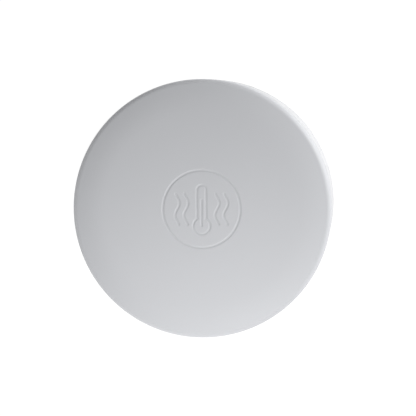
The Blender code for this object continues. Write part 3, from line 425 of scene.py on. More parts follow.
def boardLaminate(name):
    # Green solder mask over copper. Patches of a cell pattern take their tracks along one way or the other,
    # some patches are solid copper, and plated holes are small pale dots at the middles of another pattern.
    n = Nodes(name)
    patches = n.add("ShaderNodeTexVoronoi", distance="CHEBYCHEV")
    patches.inputs["Scale"].default_value = 150
    n.join(n.place, patches.inputs["Vector"])
    pick = n.add("ShaderNodeSeparateColor")
    n.join(patches.outputs["Color"], pick.inputs["Color"])
    across = n.ramp(pick.outputs["Red"], ((0.5, (0, 0, 0)), (0.502, (1, 1, 1))))
    solid = n.ramp(pick.outputs["Green"], ((0.72, (0, 0, 0)), (0.722, (1, 1, 1))))
    lines = n.mixed(across, tracks(n, 0), tracks(n, 90))
    copper = n.mixed(solid, lines, (1.0, 1.0, 1.0))
    dots = n.add("ShaderNodeTexVoronoi")
    dots.inputs["Scale"].default_value = 330
    n.join(n.place, dots.inputs["Vector"])
    plated = n.ramp(dots.outputs["Distance"], ((0.1, (1, 1, 1)), (0.12, (0, 0, 0))))
    tone = n.mixed(plated, n.mixed(copper, (0.006, 0.062, 0.026), (0.016, 0.125, 0.05)), (0.62, 0.6, 0.52))
    weave = n.noise(900, 1)
    raised = n.bump(copper, 0.03 * mm, 0.6)
    return n.finish(tone, n.span(weave, 0.24, 0.36), n.bump(weave, 0.003 * mm, 0.5, raised))


def cellWrap(name):
    # A shrink wrap in two flat tones, parted by a narrow line near one end.
    n = Nodes(name)
    along = n.add("ShaderNodeSeparateXYZ")
    n.join(n.place, along.inputs["Vector"])
    low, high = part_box("battery_cell")
    share = n.span(along.outputs["X"], 0, 1, low.x, high.x)
    pale, band, line = (0.48, 0.5, 0.5), (0.03, 0.2, 0.19), (0.75, 0.76, 0.76)
    tone = n.ramp(share, ((0.0, band), (0.2, band), (0.205, line), (0.225, line), (0.23, pale), (1.0, pale)))
    crease = n.noise(500, 3, 0.6, (0.3, 1, 1))
    return n.finish(tone, n.span(crease, 0.26, 0.38), n.bump(crease, 0.02 * mm, 0.3), Coat_Weight=0.3)


def clearPlastic(name, colour, transmission, rough=0.06):
    # Light passes through; slow waves vary its colour, its gloss and its surface a little.
    n = Nodes(name)
    waves = n.noise(700, 2)
    return n.finish(n.mixed(waves, colour, shade(colour, 0.94)), n.span(waves, rough, rough + 0.05),
                    n.bump(waves, 0.004 * mm, 0.4), Transmission_Weight=transmission, IOR=1.49)


capWhite = (0.60, 0.608, 0.63)
finishes = {
    "cap_plastic": mouldedPlastic("capPlastic", capWhite, 0.56),
    "white_plastic": mouldedPlastic("casePlastic", (0.585, 0.592, 0.606), 0.4),
    "grey_plastic": mouldedPlastic("grillePlastic", (0.43, 0.435, 0.445), 0.5),
    "black_plastic": mouldedPlastic("blackPlastic", (0.022, 0.022, 0.024), 0.45, 0.16, 0.006, 0.1),
    "board_laminate": boardLaminate("solderMask"),
    "cell_wrap": cellWrap("cellWrap"),
    "nickel": drawnMetal("nickelPlate", (0.66, 0.64, 0.59), 0.22),
    "spring_steel": drawnMetal("springWire", (0.5, 0.5, 0.51), 0.3, (1, 1, 1), 0.05),
    "screw_steel": drawnMetal("zincPlate", (0.52, 0.53, 0.55), 0.32, (1, 1, 1), 0.12, 1.0, 0.2),
    "brass": drawnMetal("rolledBrass", (0.68, 0.48, 0.19), 0.3, (0.05, 1, 1), 0.1),
    "copper": drawnMetal("enamelledCopper", (0.58, 0.2, 0.08), 0.24, (1, 1, 0.3), 0.09),
    "ceramic": mouldedPlastic("silveredCeramic", (0.6, 0.59, 0.55), 0.35, 0.1, 0.004, 0.06),
    "ferrite": mouldedPlastic("ferrite", (0.05, 0.05, 0.055), 0.55, 0.12, 0.02, 0.2),
    "can_aluminium": drawnMetal("drawnCan", (0.68, 0.68, 0.69), 0.3, (1, 1, 0.05), 0.1),
    "bead_epoxy": mouldedPlastic("beadEpoxy", (0.012, 0.012, 0.012), 0.18, 0.5, 0.01, 0.1, 0.5),
    "lamp_resin": clearPlastic("lampResin", (0.55, 0.05, 0.03), 0.7),
    "clear_acrylic": clearPlastic("clearAcrylic", (0.9, 0.92, 0.93), 0.9),
}
print("stage: finishes made,", len(finishes))


def middleOf(node):
    low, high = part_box(node)
    return (low + high) / 2


capLow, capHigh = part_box("front_cap")
shellLow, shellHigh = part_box("body_shell")
grilleLow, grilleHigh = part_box("vent_grille")
baseLow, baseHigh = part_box("mounting_base")
coverLow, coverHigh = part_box("rear_cover")
boardLow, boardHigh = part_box("circuit_board")
gap = 0.3 * mm                                   # what fixed pieces keep between them
outerRadius = capHigh.x
shellInner = outerRadius - 1.8 * mm
deckTop = grilleLow.z - gap
deckBottom = deckTop - 1.6 * mm
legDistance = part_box("cap_spring_1")[1].y - 1.8 * mm   # springs and legs share one circle
springAngles = (90, 210, 330)
legAngles = (30, 150, 270)
bossAngles = (51, 129, 231, 309)
bossDistance = middleOf("housing_screw_1").xy.length
switchPlace = tuple(middleOf("switch_plunger").xy)
sensorPlace = tuple(middleOf("thermistor_bead").xy)
lampPlace = tuple(middleOf("light_guide").xy)
cellAxis = middleOf("battery_cell").z
screwHead = 1.5 * mm                             # its height
plateThickness = 1.6 * mm                        # of the rear cover
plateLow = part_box("housing_screw_1")[0].z + screwHead + gap
plateTop = plateLow + plateThickness

cap = {
    "thickness": 2.0 * mm,
    "edgeRadius": 1.4 * mm,
    "crown": (8.0 * mm, 0.5 * mm),    # width of the outer band that falls away, and how far it falls
    "height": 4.8 * mm,
    "markRadius": 9.7 * mm,
    "lineWidth": 0.5 * mm,
    "lineDepth": 0.11 * mm,
    "lineSlope": 0.3 * mm,        # how far each wall of an engraved line leans
    "stem": (1.15 * mm, -2.0 * mm, 4.8 * mm),      # radius, and the heights between which it runs
    "bulb": (2.1 * mm, -4.2 * mm),                 # radius, and the height of its middle
    "waves": (3.9 * mm, 6.1 * mm),                 # how far the heat waves stand from the middle
    "waveHeight": 7.6 * mm,
    "waveSwing": 0.55 * mm,
    "legWidth": 4.0 * mm,
    "legHalf": 0.8 * mm,          # half the thickness of a leg
    "hook": (1.8 * mm, 0.55 * mm),        # from the leg's middle to its tip, and the height of the tip
    "noseRadius": 1.8 * mm,
    "root": 0.1 * mm,             # how far legs, pegs and nose are sunk into the disc
}
peg = {
    "radius": 0.9 * mm,           # of the pins that hold the ends of the cap springs
    "height": 1.6 * mm,
}


def strokeDistance(x, y):
    # How far a point is from the nearest engraved line. A ring: the distance from the centre less its radius.
    # A thermometer: the nearer of a stem, measured from a straight line, and a round bulb. Heat waves: the
    # distance sideways from x = side + swing sin(y), made shorter by the wave's slope.
    ring = abs(np.hypot(x, y) - cap["markRadius"])
    stemRadius, stemLow, stemHigh = cap["stem"]
    bulbRadius, bulbMiddle = cap["bulb"]
    stem = np.hypot(x, y - np.clip(y, stemLow, stemHigh)) - stemRadius
    bulb = np.hypot(x, y - bulbMiddle) - bulbRadius
    outline = abs(np.minimum(stem, bulb))
    column = np.hypot(x, y - np.clip(y, bulbMiddle, stemHigh * 0.45))
    lines = [ring, outline, column]
    half = cap["waveHeight"] / 2
    for side in cap["waves"]:
        for sign in (-1, 1):
            turn = np.clip(y, -half, half) / half * np.pi * 1.25
            wave = sign * side + cap["waveSwing"] * np.sin(turn)
            slope = cap["waveSwing"] * np.cos(turn) * np.pi * 1.25 / half
            lines.append(np.hypot((x - wave) / np.sqrt(1 + slope ** 2), y - np.clip(y, -half, half)))
    return np.minimum.reduce(lines)


def capSurface():
    # The disc is a polar grid: its height drops by the line depth wherever a point is within half a line of
    # the mark, with walls that follow the smooth step t t (3 - 2 t). Beyond the mark the profile falls with
    # the square of the distance into the outer band, then runs over the edge's arc, down the skirt and back
    # under the disc to the axis.
    radii = np.linspace(0, cap["markRadius"] + 0.7 * mm, 112)
    face = np.stack((radii, np.full_like(radii, capHigh.z)), -1)
    rim = capHigh.z - cap["height"]
    under = capHigh.z - cap["thickness"]
    bandWidth, fall = cap["crown"]
    reach = bandWidth - cap["edgeRadius"]
    into = np.linspace(0, reach - 0.2 * mm, 12)
    band = np.stack((outerRadius - bandWidth + into, capHigh.z - fall * (into / reach) ** 2, 0 * into), -1)
    slope = 2 * fall * into[-1] / reach ** 2
    shoulder = band[-1, 1] - slope * (outerRadius - band[-1, 0])
    rest = filletOutline([
        (cap["markRadius"] + 1.0 * mm, capHigh.z, 0),
        *band,
        (outerRadius, shoulder, cap["edgeRadius"]),
        (outerRadius, rim, 0.25 * mm),
        (shellInner, rim, 0.25 * mm),
        (shellInner, under, 0.6 * mm),
        (0, under, 0),
    ], 14)
    outline = np.vstack((face, rest))
    angle = np.linspace(0, tau, 480, endpoint=False)[:, None]
    x, y = outline[:, 0] * np.cos(angle), outline[:, 0] * np.sin(angle)
    z = np.repeat(outline[None, :, 1], len(angle), 0)
    onFace = slice(0, len(face))
    away = strokeDistance(x[:, onFace], y[:, onFace]) - cap["lineWidth"] / 2
    t = np.clip(0.5 - away / cap["lineSlope"], 0, 1)
    z[:, onFace] -= cap["lineDepth"] * t * t * (3 - 2 * t)
    return meshFromGrid("capDisc", np.stack((x, y, z), -1))


dress(capSurface(), "test_button", "cap_plastic", "front_cap")


def capPin(name, radius, bottom, place, steps):
    # A round pin that hangs from the disc, its lower end rounded.
    root = capHigh.z - cap["thickness"] + cap["root"]
    return turnedSolid(name, [(0, root, 0), (radius, root, 0), (radius, bottom, 0.3 * mm), (0, bottom, 0)],
                       steps, (*place, 0))


def capUnderside():
    # A hooked leg is a flat outline drawn out sideways and drawn in a little at both sides; the hook catches
    # under the deck. Pins for the springs and a nose for the switch hang beside the legs.
    under = capHigh.z - cap["thickness"]
    root = under + cap["root"]
    half = cap["legHalf"]
    tip, tipHeight = cap["hook"]
    catch = deckBottom - gap
    outline = filletOutline([
        (-half, root, 0), (-half, capLow.z, 0.3 * mm), (half, capLow.z, 0.2 * mm),
        (tip, catch - tipHeight, 0.2 * mm), (tip, catch, 0.1 * mm), (half, catch, 0.1 * mm), (half, root, 0),
    ], 3)
    wide = cap["legWidth"] / 2
    inside = wide - 0.25 * mm
    across = np.array((-wide, -wide, -inside, inside, wide, wide))
    shrink = np.array((0, 0.9, 1, 1, 0.9, 0))[:, None, None]
    middle = outline.mean(0)
    section = middle + (outline[None] - middle) * shrink
    pieces = []
    for number, angle in enumerate(legAngles, 1):
        turn = math.radians(angle)
        out = legDistance + section[..., 0]
        side = across[:, None] + 0 * out
        grid = np.stack((out * math.cos(turn) - side * math.sin(turn),
                         out * math.sin(turn) + side * math.cos(turn), section[..., 1]), -1)
        pieces.append(sharpen(meshFromGrid(f"capLeg{number}", grid, wrapRows=False, wrapColumns=True)))
    for number, angle in enumerate(springAngles, 1):
        place = onCircle(angle, legDistance)
        pieces.append(capPin(f"capPeg{number}", peg["radius"], under - peg["height"], place, 32))
    plungerLow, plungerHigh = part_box("switch_plunger")
    nosePlace = ((plungerLow.x + plungerHigh.x) / 2, 0)
    pieces.append(capPin("capNose", cap["noseRadius"], plungerHigh.z + gap, nosePlace, 40))
    return pieces


for piece in capUnderside():
    dress(piece, "test_button", "cap_plastic", "front_cap")
print("stage: front cap made")

shell = {
    "opening": 15.5 * mm,             # clears the sounder
    "deckEdge": 0.8 * mm,
    "rimEdge": 0.4 * mm,
    "seam": (9.0 * mm, 0.3 * mm),     # height and depth of the fine groove round the side
    "boss": (2.6 * mm, 1.5 * mm, 12.0 * mm),      # radius, then radius and depth of its hole
    "postRadius": 1.2 * mm,
    "postInset": 2.0 * mm,            # from the circuit board's rim
    "postAngles": (110, 190, 350),    # degrees
    "legSlot": (2.6 * mm, 5.0 * mm),  # along the radius, and across it
    "switchWindow": 7.0 * mm,
}


def post(name, radius, low, high, place, edge=0.25 * mm, steps=40):
    # A short round pillar, its edges rounded at both ends.
    return turnedSolid(name, [(0, low, 0), (radius, low, edge), (radius, high, edge), (0, high, 0)],
                       steps, (*place, 0))


def bodyShell():
    # The side wall and the deck are one turned outline. Bosses, posts and pegs are joined to it, then the
    # openings are cut.
    seamHeight, seamDepth = shell["seam"]
    outline = filletOutline([
        (shell["opening"], deckTop, 0.3 * mm),
        (outerRadius, deckTop, shell["deckEdge"]),
        (outerRadius, seamHeight + 1.2 * seamDepth, 0.12 * mm),
        (outerRadius - seamDepth, seamHeight, 0.08 * mm),
        (outerRadius, seamHeight - 1.2 * seamDepth, 0.12 * mm),
        (outerRadius, shellLow.z, shell["rimEdge"]),
        (shellInner, shellLow.z, 0.3 * mm),
        (shellInner, deckBottom, 0.6 * mm),
        (shell["opening"], deckBottom, 0.3 * mm),
    ])
    piece = turned("bodyShell", outline, 240)
    sunk = 0.5 * mm                               # how deep each of them stands in the deck
    rooted = deckBottom + sunk
    bossRadius, holeRadius, holeDepth = shell["boss"]
    bossPlaces = [onCircle(angle, bossDistance) for angle in bossAngles]
    added = [post("boss", bossRadius, plateTop + gap, rooted, place) for place in bossPlaces]
    for angle in shell["postAngles"]:
        place = onCircle(angle, boardHigh.x - shell["postInset"])
        added.append(post("post", shell["postRadius"], boardHigh.z + gap, rooted, place))
    for angle in springAngles:
        place = onCircle(angle, legDistance)
        added.append(post("peg", peg["radius"], deckTop - sunk, deckTop + peg["height"], place, 0.3 * mm))
    carve(piece, added, "UNION")
    holeLow, holeHigh = plateTop - 0.5 * mm, plateTop + holeDepth
    cuts = [post("hole", holeRadius, holeLow, holeHigh, place, 0.2 * mm) for place in bossPlaces]
    middle = (deckTop + deckBottom) / 2
    tall = deckTop - deckBottom + 2 * mm
    for angle in legAngles:
        place = (*onCircle(angle, legDistance), middle)
        cuts.append(roundedBlock("cut", (*shell["legSlot"], tall), place, 0.4 * mm, 0.1 * mm, angle))
    window = (shell["switchWindow"], shell["switchWindow"], tall)
    cuts.append(roundedBlock("cut", window, (*switchPlace, middle), 0.6 * mm, 0.1 * mm))
    for place, node, room in ((sensorPlace, "thermistor_holder", 0.5 * mm), (lampPlace, "light_guide", gap)):
        low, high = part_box(node)
        radius = (high.x - low.x) / 2 + room
        cuts.append(post("cut", radius, deckBottom - mm, deckTop + mm, place, 0.1 * mm, 48))
    return carve(piece, cuts)


dress(bodyShell(), "head", "white_plastic", "body_shell")
print("stage: body shell made")

grille = {
    "windows": 30,
    "windowShare": 0.5,               # of the ring that is open
    "rail": 1.0 * mm,                 # below and above each window
    "corner": 0.7 * mm,
    "wall": 1.3 * mm,
    "edge": 0.18 * mm,
}


def ventGrille():
    # One tile holds one window. Its outline is a rounded rectangle, and rings of points run from that to the
    # tile's own border: each point moves straight out to the border, and the middle of each corner goes to
    # the border's corner. The tile repeats round the ring, where across becomes the angle, across / radius.
    steps, extra = 4, 3                           # points along each corner, and on each side between them
    tall = grilleHigh.z - grilleLow.z
    radius = grilleHigh.x
    wide = tau * radius / grille["windows"]
    window = np.array((wide * grille["windowShare"], tall - 2 * grille["rail"]))
    corners = roundedRectangle(*window, grille["corner"], steps).reshape(4, steps + 1, 2)
    border = np.array((wide, tall)) / 2
    inner, outer = [], []
    for k, arc in enumerate(corners):
        signs = np.sign(arc[steps // 2])
        alongSide = np.arange(steps + 1) < steps // 2 if k % 2 == 0 else np.arange(steps + 1) > steps // 2
        out = np.where(alongSide[:, None], np.c_[np.full(steps + 1, signs[0] * border[0]), arc[:, 1]],
                       np.c_[arc[:, 0], np.full(steps + 1, signs[1] * border[1])])
        out[steps // 2] = signs * border
        following = corners[(k + 1) % 4][0]
        share = np.linspace(0, 1, extra + 2)[1:-1, None]
        straight = arc[-1] * (1 - share) + following * share
        beyond = straight.copy()
        axis = 1 if k % 2 == 0 else 0
        beyond[:, axis] = np.sign(straight[:, axis]) * border[axis]
        inner += [arc, straight]
        outer += [out, beyond]
    inner, outer = np.vstack(inner), np.vstack(outer)
    share = np.array((0, 0.12, 0.5, 1))[:, None, None]
    tile = inner * (1 - share) + outer * share
    turn = (np.arange(grille["windows"]) + 0.75) * tau / grille["windows"]
    angle = tile[None, ..., 0] / radius + turn[:, None, None, None]
    height = np.broadcast_to(tile[None, ..., 1] + (grilleLow.z + grilleHigh.z) / 2, angle.shape)
    points = np.stack((radius * np.cos(angle), radius * np.sin(angle), height), -1)
    rings, count = tile.shape[:2]
    i, j, k = np.meshgrid(np.arange(len(turn)), np.arange(rings - 1), np.arange(count), indexing="ij")
    following = (k + 1) % count
    first = i * rings * count
    faces = (first + j * count + k, first + j * count + following,
             first + (j + 1) * count + following, first + (j + 1) * count + k)
    piece = meshFromFaces("ventGrille", points.reshape(-1, 3), np.stack(faces, -1).reshape(-1, 4))
    wall = piece.modifiers.new("wall", "SOLIDIFY")
    wall.thickness = grille["wall"]
    wall.offset = -1
    applied(piece)
    return softened(piece, grille["edge"])


dress(ventGrille(), "head", "grey_plastic", "vent_grille")
print("stage: vent grille made")

base = {
    "thickness": 2.4 * mm,
    "edge": 0.6 * mm,
    "slot": (9.0 * mm, 4.4 * mm, 37.0 * mm),      # length, width and spacing
    "sink": (13.0 * mm, 8.4 * mm, 1.0 * mm),      # length, width and depth
    "hookArc": 20,                                # degrees
    "hookWall": 1.6 * mm,
    "hookThickness": 1.2 * mm,
    "hookReach": 2.3 * mm,
    "stopTurns": (-11.25, 31.25),                 # degrees from the middle of each hook
    "stopArc": 2.5,                               # degrees
    "backRing": (3.5 * mm, 12.0 * mm, 0.8 * mm),  # inner and outer radius of the hollow at the back, depth
    "backGroove": (24.3 * mm, 25.6 * mm, 0.6 * mm),
}


def mountingBase():
    # A turned plate, hollowed a little at the back, with three hooks and their stops joined on and two long
    # screw holes sunk into it.
    top = base["thickness"]
    ringIn, ringOut, ringDepth = base["backRing"]
    grooveIn, grooveOut, grooveDepth = base["backGroove"]
    small = 0.2 * mm
    piece = turnedSolid("mountingBase", [
        (0, top, 0), (baseHigh.x, top, base["edge"]), (baseHigh.x, 0, small), (grooveOut, 0, small),
        (grooveOut, grooveDepth, small), (grooveIn, grooveDepth, small), (grooveIn, 0, small),
        (ringOut, 0, small), (ringOut, ringDepth, small), (ringIn, ringDepth, small), (ringIn, 0, small),
        (0, 0, 0)], 240, filletSteps=4)
    root = top - 0.4 * mm
    hookTop = baseHigh.z
    hookLow = hookTop - base["hookThickness"]
    wallOut = baseHigh.x - base["hookReach"]
    wallIn = wallOut - base["hookWall"]
    hub = ((wallOut + wallIn) / 2, (hookTop + hookLow) / 2)
    hook = [(wallIn, root, 0), (wallOut, root, 0), (wallOut, hookLow, small), (baseHigh.x, hookLow, small),
            (baseHigh.x, hookTop, small), (wallIn, hookTop, small)]
    stopIn, stopOut, stopTop = wallOut - 0.3 * mm, baseHigh.x - base["edge"], hookTop - 0.3 * mm
    stop = [(stopIn, root, 0), (stopOut, root, 0), (stopOut, stopTop, small), (stopIn, stopTop, small)]
    hooks = [sweptArc("hook", hook, middle, base["hookArc"], hub) for middle in springAngles]
    stops = [sweptArc("stop", stop, middle + turn, base["stopArc"], None, 4)
             for middle in springAngles for turn in base["stopTurns"]]
    carve(piece, hooks, "UNION")
    carve(piece, stops, "UNION")
    length, width, spacing = base["slot"]
    sinkLength, sinkWidth, sinkDepth = base["sink"]
    for size, low in (((sinkLength, sinkWidth), top - sinkDepth), ((length, width), -mm)):
        high = top + mm
        carve(piece, [roundedBlock("slot", (*size, high - low), (0, side * spacing / 2, (high + low) / 2),
                                   size[1] / 2, 0.2 * mm, steps=6) for side in (-1, 1)])
    return piece


dress(mountingBase(), "base", "white_plastic", "mounting_base")
print("stage: mounting base made")

cover = {
    "skirtWall": 1.4 * mm,
    "skirtInset": 1.5 * mm,           # from the plate's rim to the skirt
    "ledgeReach": 2.3 * mm,
    "ledgeThickness": 1.2 * mm,
    "ledgeArc": 18,                   # degrees
    "cradleWall": 1.0 * mm,
    "cellRoom": 0.4 * mm,             # beside the cell
    "holeRadius": 1.5 * mm,
    "tailSlot": (1.0 * mm, 3.0 * mm),
    "tailInset": 0.8 * mm,            # from the end of the cell's room to the middle of each slot
    "sides": 236,                     # of its round walls; none of their edges meets the end of a ledge
}


def rearCover():
    # A turned plate with its bayonet skirt. The cradle and three ledges are joined on, then the room for the
    # cell, the screw holes and the slots for the contacts are cut.
    skirtOut = coverHigh.x - cover["skirtInset"]
    skirtIn = skirtOut - cover["skirtWall"]
    small = 0.25 * mm
    piece = turnedSolid("rearCover", [
        (0, plateTop, 0), (coverHigh.x, plateTop, small), (coverHigh.x, plateLow, small),
        (skirtOut, plateLow, small), (skirtOut, coverLow.z, small), (skirtIn, coverLow.z, small),
        (skirtIn, plateLow, small), (0, plateLow, 0)], cover["sides"], filletSteps=4)
    wall = cover["cradleWall"]
    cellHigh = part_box("battery_cell")[1]
    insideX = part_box("battery_contact_positive")[1].x + gap
    insideY = cellHigh.y + cover["cellRoom"]
    floorLow = coverHigh.z - wall
    rooted = plateLow + gap
    size = (2 * (insideX + wall), 2 * (insideY + wall), coverHigh.z - rooted)
    added = [roundedBlock("cradle", size, (0, 0, rooted + size[2] / 2), 1.5 * mm, 0.5 * mm)]
    ledgeLow = base["thickness"] + gap
    ledgeTop = ledgeLow + cover["ledgeThickness"]
    ledgeIn = skirtIn - cover["ledgeReach"]
    ledge = [(ledgeIn, ledgeLow, small), (skirtIn + 0.4 * mm, ledgeLow, 0), (skirtIn + 0.4 * mm, ledgeTop, 0),
             (ledgeIn, ledgeTop, small)]
    added += [sweptArc("ledge", ledge, middle, cover["ledgeArc"]) for middle in springAngles]
    carve(piece, added, "UNION")
    deep = floorLow - plateLow + mm
    room = (2 * insideX, 2 * insideY, deep)
    cuts = [roundedBlock("room", room, (0, 0, floorLow - deep / 2), 0.5 * mm, small)]
    for angle in bossAngles:
        place = onCircle(angle, bossDistance)
        cuts.append(post("hole", cover["holeRadius"], plateLow - mm, plateTop + mm, place, 0.1 * mm))
    carve(piece, cuts)
    tailPlace = insideX - cover["tailInset"]
    size = (*cover["tailSlot"], 4 * wall)
    carve(piece, [roundedBlock("slot", size, (side * tailPlace, 0, floorLow + wall / 2), 0.3 * mm, 0.1 * mm)
                  for side in (-1, 1)])
    return piece


dress(rearCover(), "head", "white_plastic", "rear_cover")
print("stage: rear cover made")

coil = {
    "turns": 5.0,
    "closed": 0.8,                    # turns that lie flat at each end
    "wire": 0.2 * mm,
    "radius": 1.6 * mm,
}


def capSprings():
    # A helix whose height stays level for the closed turns at each end and climbs evenly between them.
    for number, angle in enumerate(springAngles, 1):
        node = f"cap_spring_{number}"
        low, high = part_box(node)
        x, y = onCircle(angle, legDistance)
        share = np.linspace(0, 1, 241)
        flat = coil["closed"] / coil["turns"]
        climb = np.clip((share - flat) / (1 - 2 * flat), 0, 1)
        turn = share * coil["turns"] * tau + math.radians(angle)
        bottom, top = low.z + coil["wire"], high.z - coil["wire"]
        path = np.stack((x + coil["radius"] * np.cos(turn), y + coil["radius"] * np.sin(turn),
                         bottom + (top - bottom) * climb), -1)
        piece = tubeAlong(f"capSpring{number}", path, coil["wire"], 10)
        piece.data.materials.append(finishes["spring_steel"])
        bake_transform(piece)
        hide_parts(node)


capSprings()
print("stage: cap springs made")

board = {
    "edge": 0.12 * mm,
    "bossRoom": 2.9 * mm,
    "boreRadius": 0.6 * mm,
    "leadPitch": 2.54 * mm,
    "chipPart": (1.6 * mm, 0.8 * mm, 0.42 * mm),  # length, width and height of the smallest parts
    "resistors": ((20, 18.2), (20, 20.4), (96, 18.0), (96, 20.2), (152, 17.6), (246, 18.0), (246, 20.2),
                  (292, 18.4), (294, 20.6), (332, 17.8)),      # angle, then distance in millimetres
    "capacitors": ((28, 18.0), (108, 18.0), (90, 22.0), (155, 20.0), (256, 24.0), (284, 24.0), (332, 20.2),
                   (338, 22.4)),
}


def circuitBoard():
    # A round plate. Bays in its rim leave room for the bosses, and two bores take the sensor's leads.
    rim, edge = boardHigh.x, board["edge"]
    piece = turnedSolid("circuitBoard", [
        (0, boardHigh.z, 0), (rim, boardHigh.z, edge), (rim, boardLow.z, edge), (0, boardLow.z, 0)], 200)
    low, high = boardLow.z - mm, boardHigh.z + mm
    cuts = [post("cut", board["bossRoom"], low, high, onCircle(angle, bossDistance), 0.1 * mm, 48)
            for angle in bossAngles]
    cuts += [post("cut", board["boreRadius"], low, high, (sensorPlace[0], side * board["leadPitch"] / 2),
                  0.1 * mm, 24) for side in (-1, 1)]
    return carve(piece, cuts)


def smallBoardParts(kind, slotName):
    # Each part is a rounded block between two plated ends that wrap a little past it.
    length, width, height = board["chipPart"]
    end = 0.2 * length
    bodySize = (length - end, width, height)
    endSize = (end, 1.06 * width, 1.06 * height)
    small, endSmall = 0.05 * mm, 0.07 * mm
    bodies, ends = [], []
    for angle, distance in board[kind]:
        x, y = onCircle(angle, distance * mm)
        z = boardHigh.z + height / 2
        bodies.append(roundedBlock("body", bodySize, (x, y, z), small, small, angle, 2))
        shiftX, shiftY = onCircle(angle, (length - end) / 2)
        for side in (-1, 1):
            place = (x + side * shiftX, y + side * shiftY, z + 0.01 * mm)
            ends.append(roundedBlock("end", endSize, place, endSmall, endSmall, angle, 2))
    dress(joined(kind + "Bodies", bodies), "head", slotName)
    dress(joined(kind + "Ends", ends), "head", "nickel")


dress(circuitBoard(), "head", "board_laminate", "circuit_board")
smallBoardParts("resistors", "black_plastic")
smallBoardParts("capacitors", "ceramic")
print("stage: circuit board made")

cell = {
    "nub": (3.2 * mm, 1.0 * mm),      # radius and length
    "ring": (1.4 * mm, 0.4 * mm),     # the raised ring round the nub: width and height
    "inset": 0.15 * mm,               # of the can's flat end within the wrap
    "edge": 0.6 * mm,
    "wrap": 0.12 * mm,                # thickness
    "wrapFold": 1.2 * mm,             # how far the wrap folds in over each end
    "contactPlate": 0.4 * mm,
    "contactTail": 2.4 * mm,
    "dimple": (1.6 * mm, 0.2 * mm),   # radius and height
    "springWire": 0.175 * mm,
    "springRadii": (3.4 * mm, 2.0 * mm),
    "springTurns": 3.6,
}


def alongX(piece, start):
    # Lays a turned piece down: its height becomes the distance along X, from start on the cell's axis.
    lie = Matrix.Rotation(math.radians(90), 4, "Y")
    return moved(piece, Matrix.Translation((start, 0, cellAxis)) @ lie)


def batteryCell():
    # A metal can with a nub and a raised ring at one end, within a sleeve that folds in over both ends.
    low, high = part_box("battery_cell")
    length, radius, thick, edge = high.x - low.x, high.y, cell["wrap"], cell["edge"]
    nubRadius, nubLength = cell["nub"]
    ringWidth, ringHeight = cell["ring"]
    shoulder = length - nubLength
    canTop, canBottom, canOut = shoulder - ringHeight, cell["inset"], radius - 2.0 * thick
    ringOut = nubRadius + ringWidth
    can = turnedSolid("cellCan", [
        (0, length, 0), (nubRadius, length, 0.35 * mm), (nubRadius, shoulder, 0.3 * mm),
        (ringOut, shoulder, 0.2 * mm), (ringOut + 0.3 * mm, canTop, 0.2 * mm),
        (canOut, canTop, edge), (canOut, canBottom, edge), (0, canBottom, 0)], 96)
    within = radius - edge - cell["wrapFold"]
    wrapTop = shoulder - 0.1 * mm
    inner, innerEdge, small = radius - thick, edge - thick, 0.04 * mm
    sleeve = turned("cellSleeve", filletOutline([
        (within, wrapTop, small), (radius, wrapTop, edge), (radius, 0, edge), (within, 0, small),
        (within, thick, small), (inner, thick, innerEdge), (inner, wrapTop - thick, innerEdge),
        (within, wrapTop - thick, small)]), 96)
    dress(alongX(can, low.x), "head", "nickel", "battery_cell")
    dress(alongX(sleeve, low.x), "head", "cell_wrap", "battery_cell")


def batteryContact(name, node, dimpleSide=0):
    # The plate is a flat outline that steps in to its tail. A dimple, whose height falls from its middle as
    # the cosine of the distance, points to one side.
    low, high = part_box(node)
    half, tail = high.y, cell["contactTail"] / 2
    top, shoulder, bottom = high.z, low.z + 2 * high.y, low.z
    corner, small = 0.8 * mm, 0.4 * mm
    outline = filletOutline([
        (-half, bottom, corner), (half, bottom, corner), (half, shoulder, corner), (tail, shoulder, small),
        (tail, top, small), (-tail, top, small), (-tail, shoulder, small), (-half, shoulder, corner)])
    middle = (low.x + high.x) / 2
    plate = prism(name, outline, cell["contactPlate"], upright(90, (middle, 0, 0)), 0.06 * mm)
    if dimpleSide:
        radius, rise = cell["dimple"]
        share = np.linspace(1, 0, 13)
        face = cell["contactPlate"] / 2
        outline = np.stack((radius * share, face + rise * (1 + np.cos(np.pi * share)) / 2), -1)
        outline = np.vstack(((0, 0), (radius, 0), outline))
        dimple = turned("dimple", outline * (1, dimpleSide), 48, closed=False)
        carve(plate, [alongX(dimple, middle)], "UNION")
    dress(plate, "head", "nickel", node)


def batterySpring():
    # A cone of wire: the radius narrows evenly while the turns climb along X. The first turn lies flat at the
    # plate and is tucked in a little at its start.
    low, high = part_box("battery_spring")
    share = np.linspace(0, 1, 181)
    flat = 1.0 / cell["springTurns"]
    climb = np.clip((share - flat) / (1 - flat), 0, 1)
    wide, narrow = cell["springRadii"]
    tuck = 0.3 * mm * (1 - share) * (share < flat)
    radius = wide + (narrow - wide) * climb - tuck
    turn = share * cell["springTurns"] * tau
    along = low.x + cell["springWire"] + (high.x - low.x - 2 * cell["springWire"]) * climb
    path = np.stack((along, radius * np.cos(turn), cellAxis + radius * np.sin(turn)), -1)
    dress(tubeAlong("batterySpring", path, cell["springWire"], 10), "head", "nickel", "battery_spring")


batteryCell()
batteryContact("positiveContact", "battery_contact_positive", -1)
batteryContact("negativeContact", "battery_contact_negative")
batterySpring()
print("stage: battery made")

sounder = {
    "wall": 1.2 * mm,
    "outlet": 2.6 * mm,
    "ledge": 1.2 * mm,
    "chamber": 1.8 * mm,
    "topRing": (8.0 * mm, 9.2 * mm, 0.35 * mm),   # a groove in the top: inner and outer radius, depth
    "leafThickness": 0.25 * mm,
}


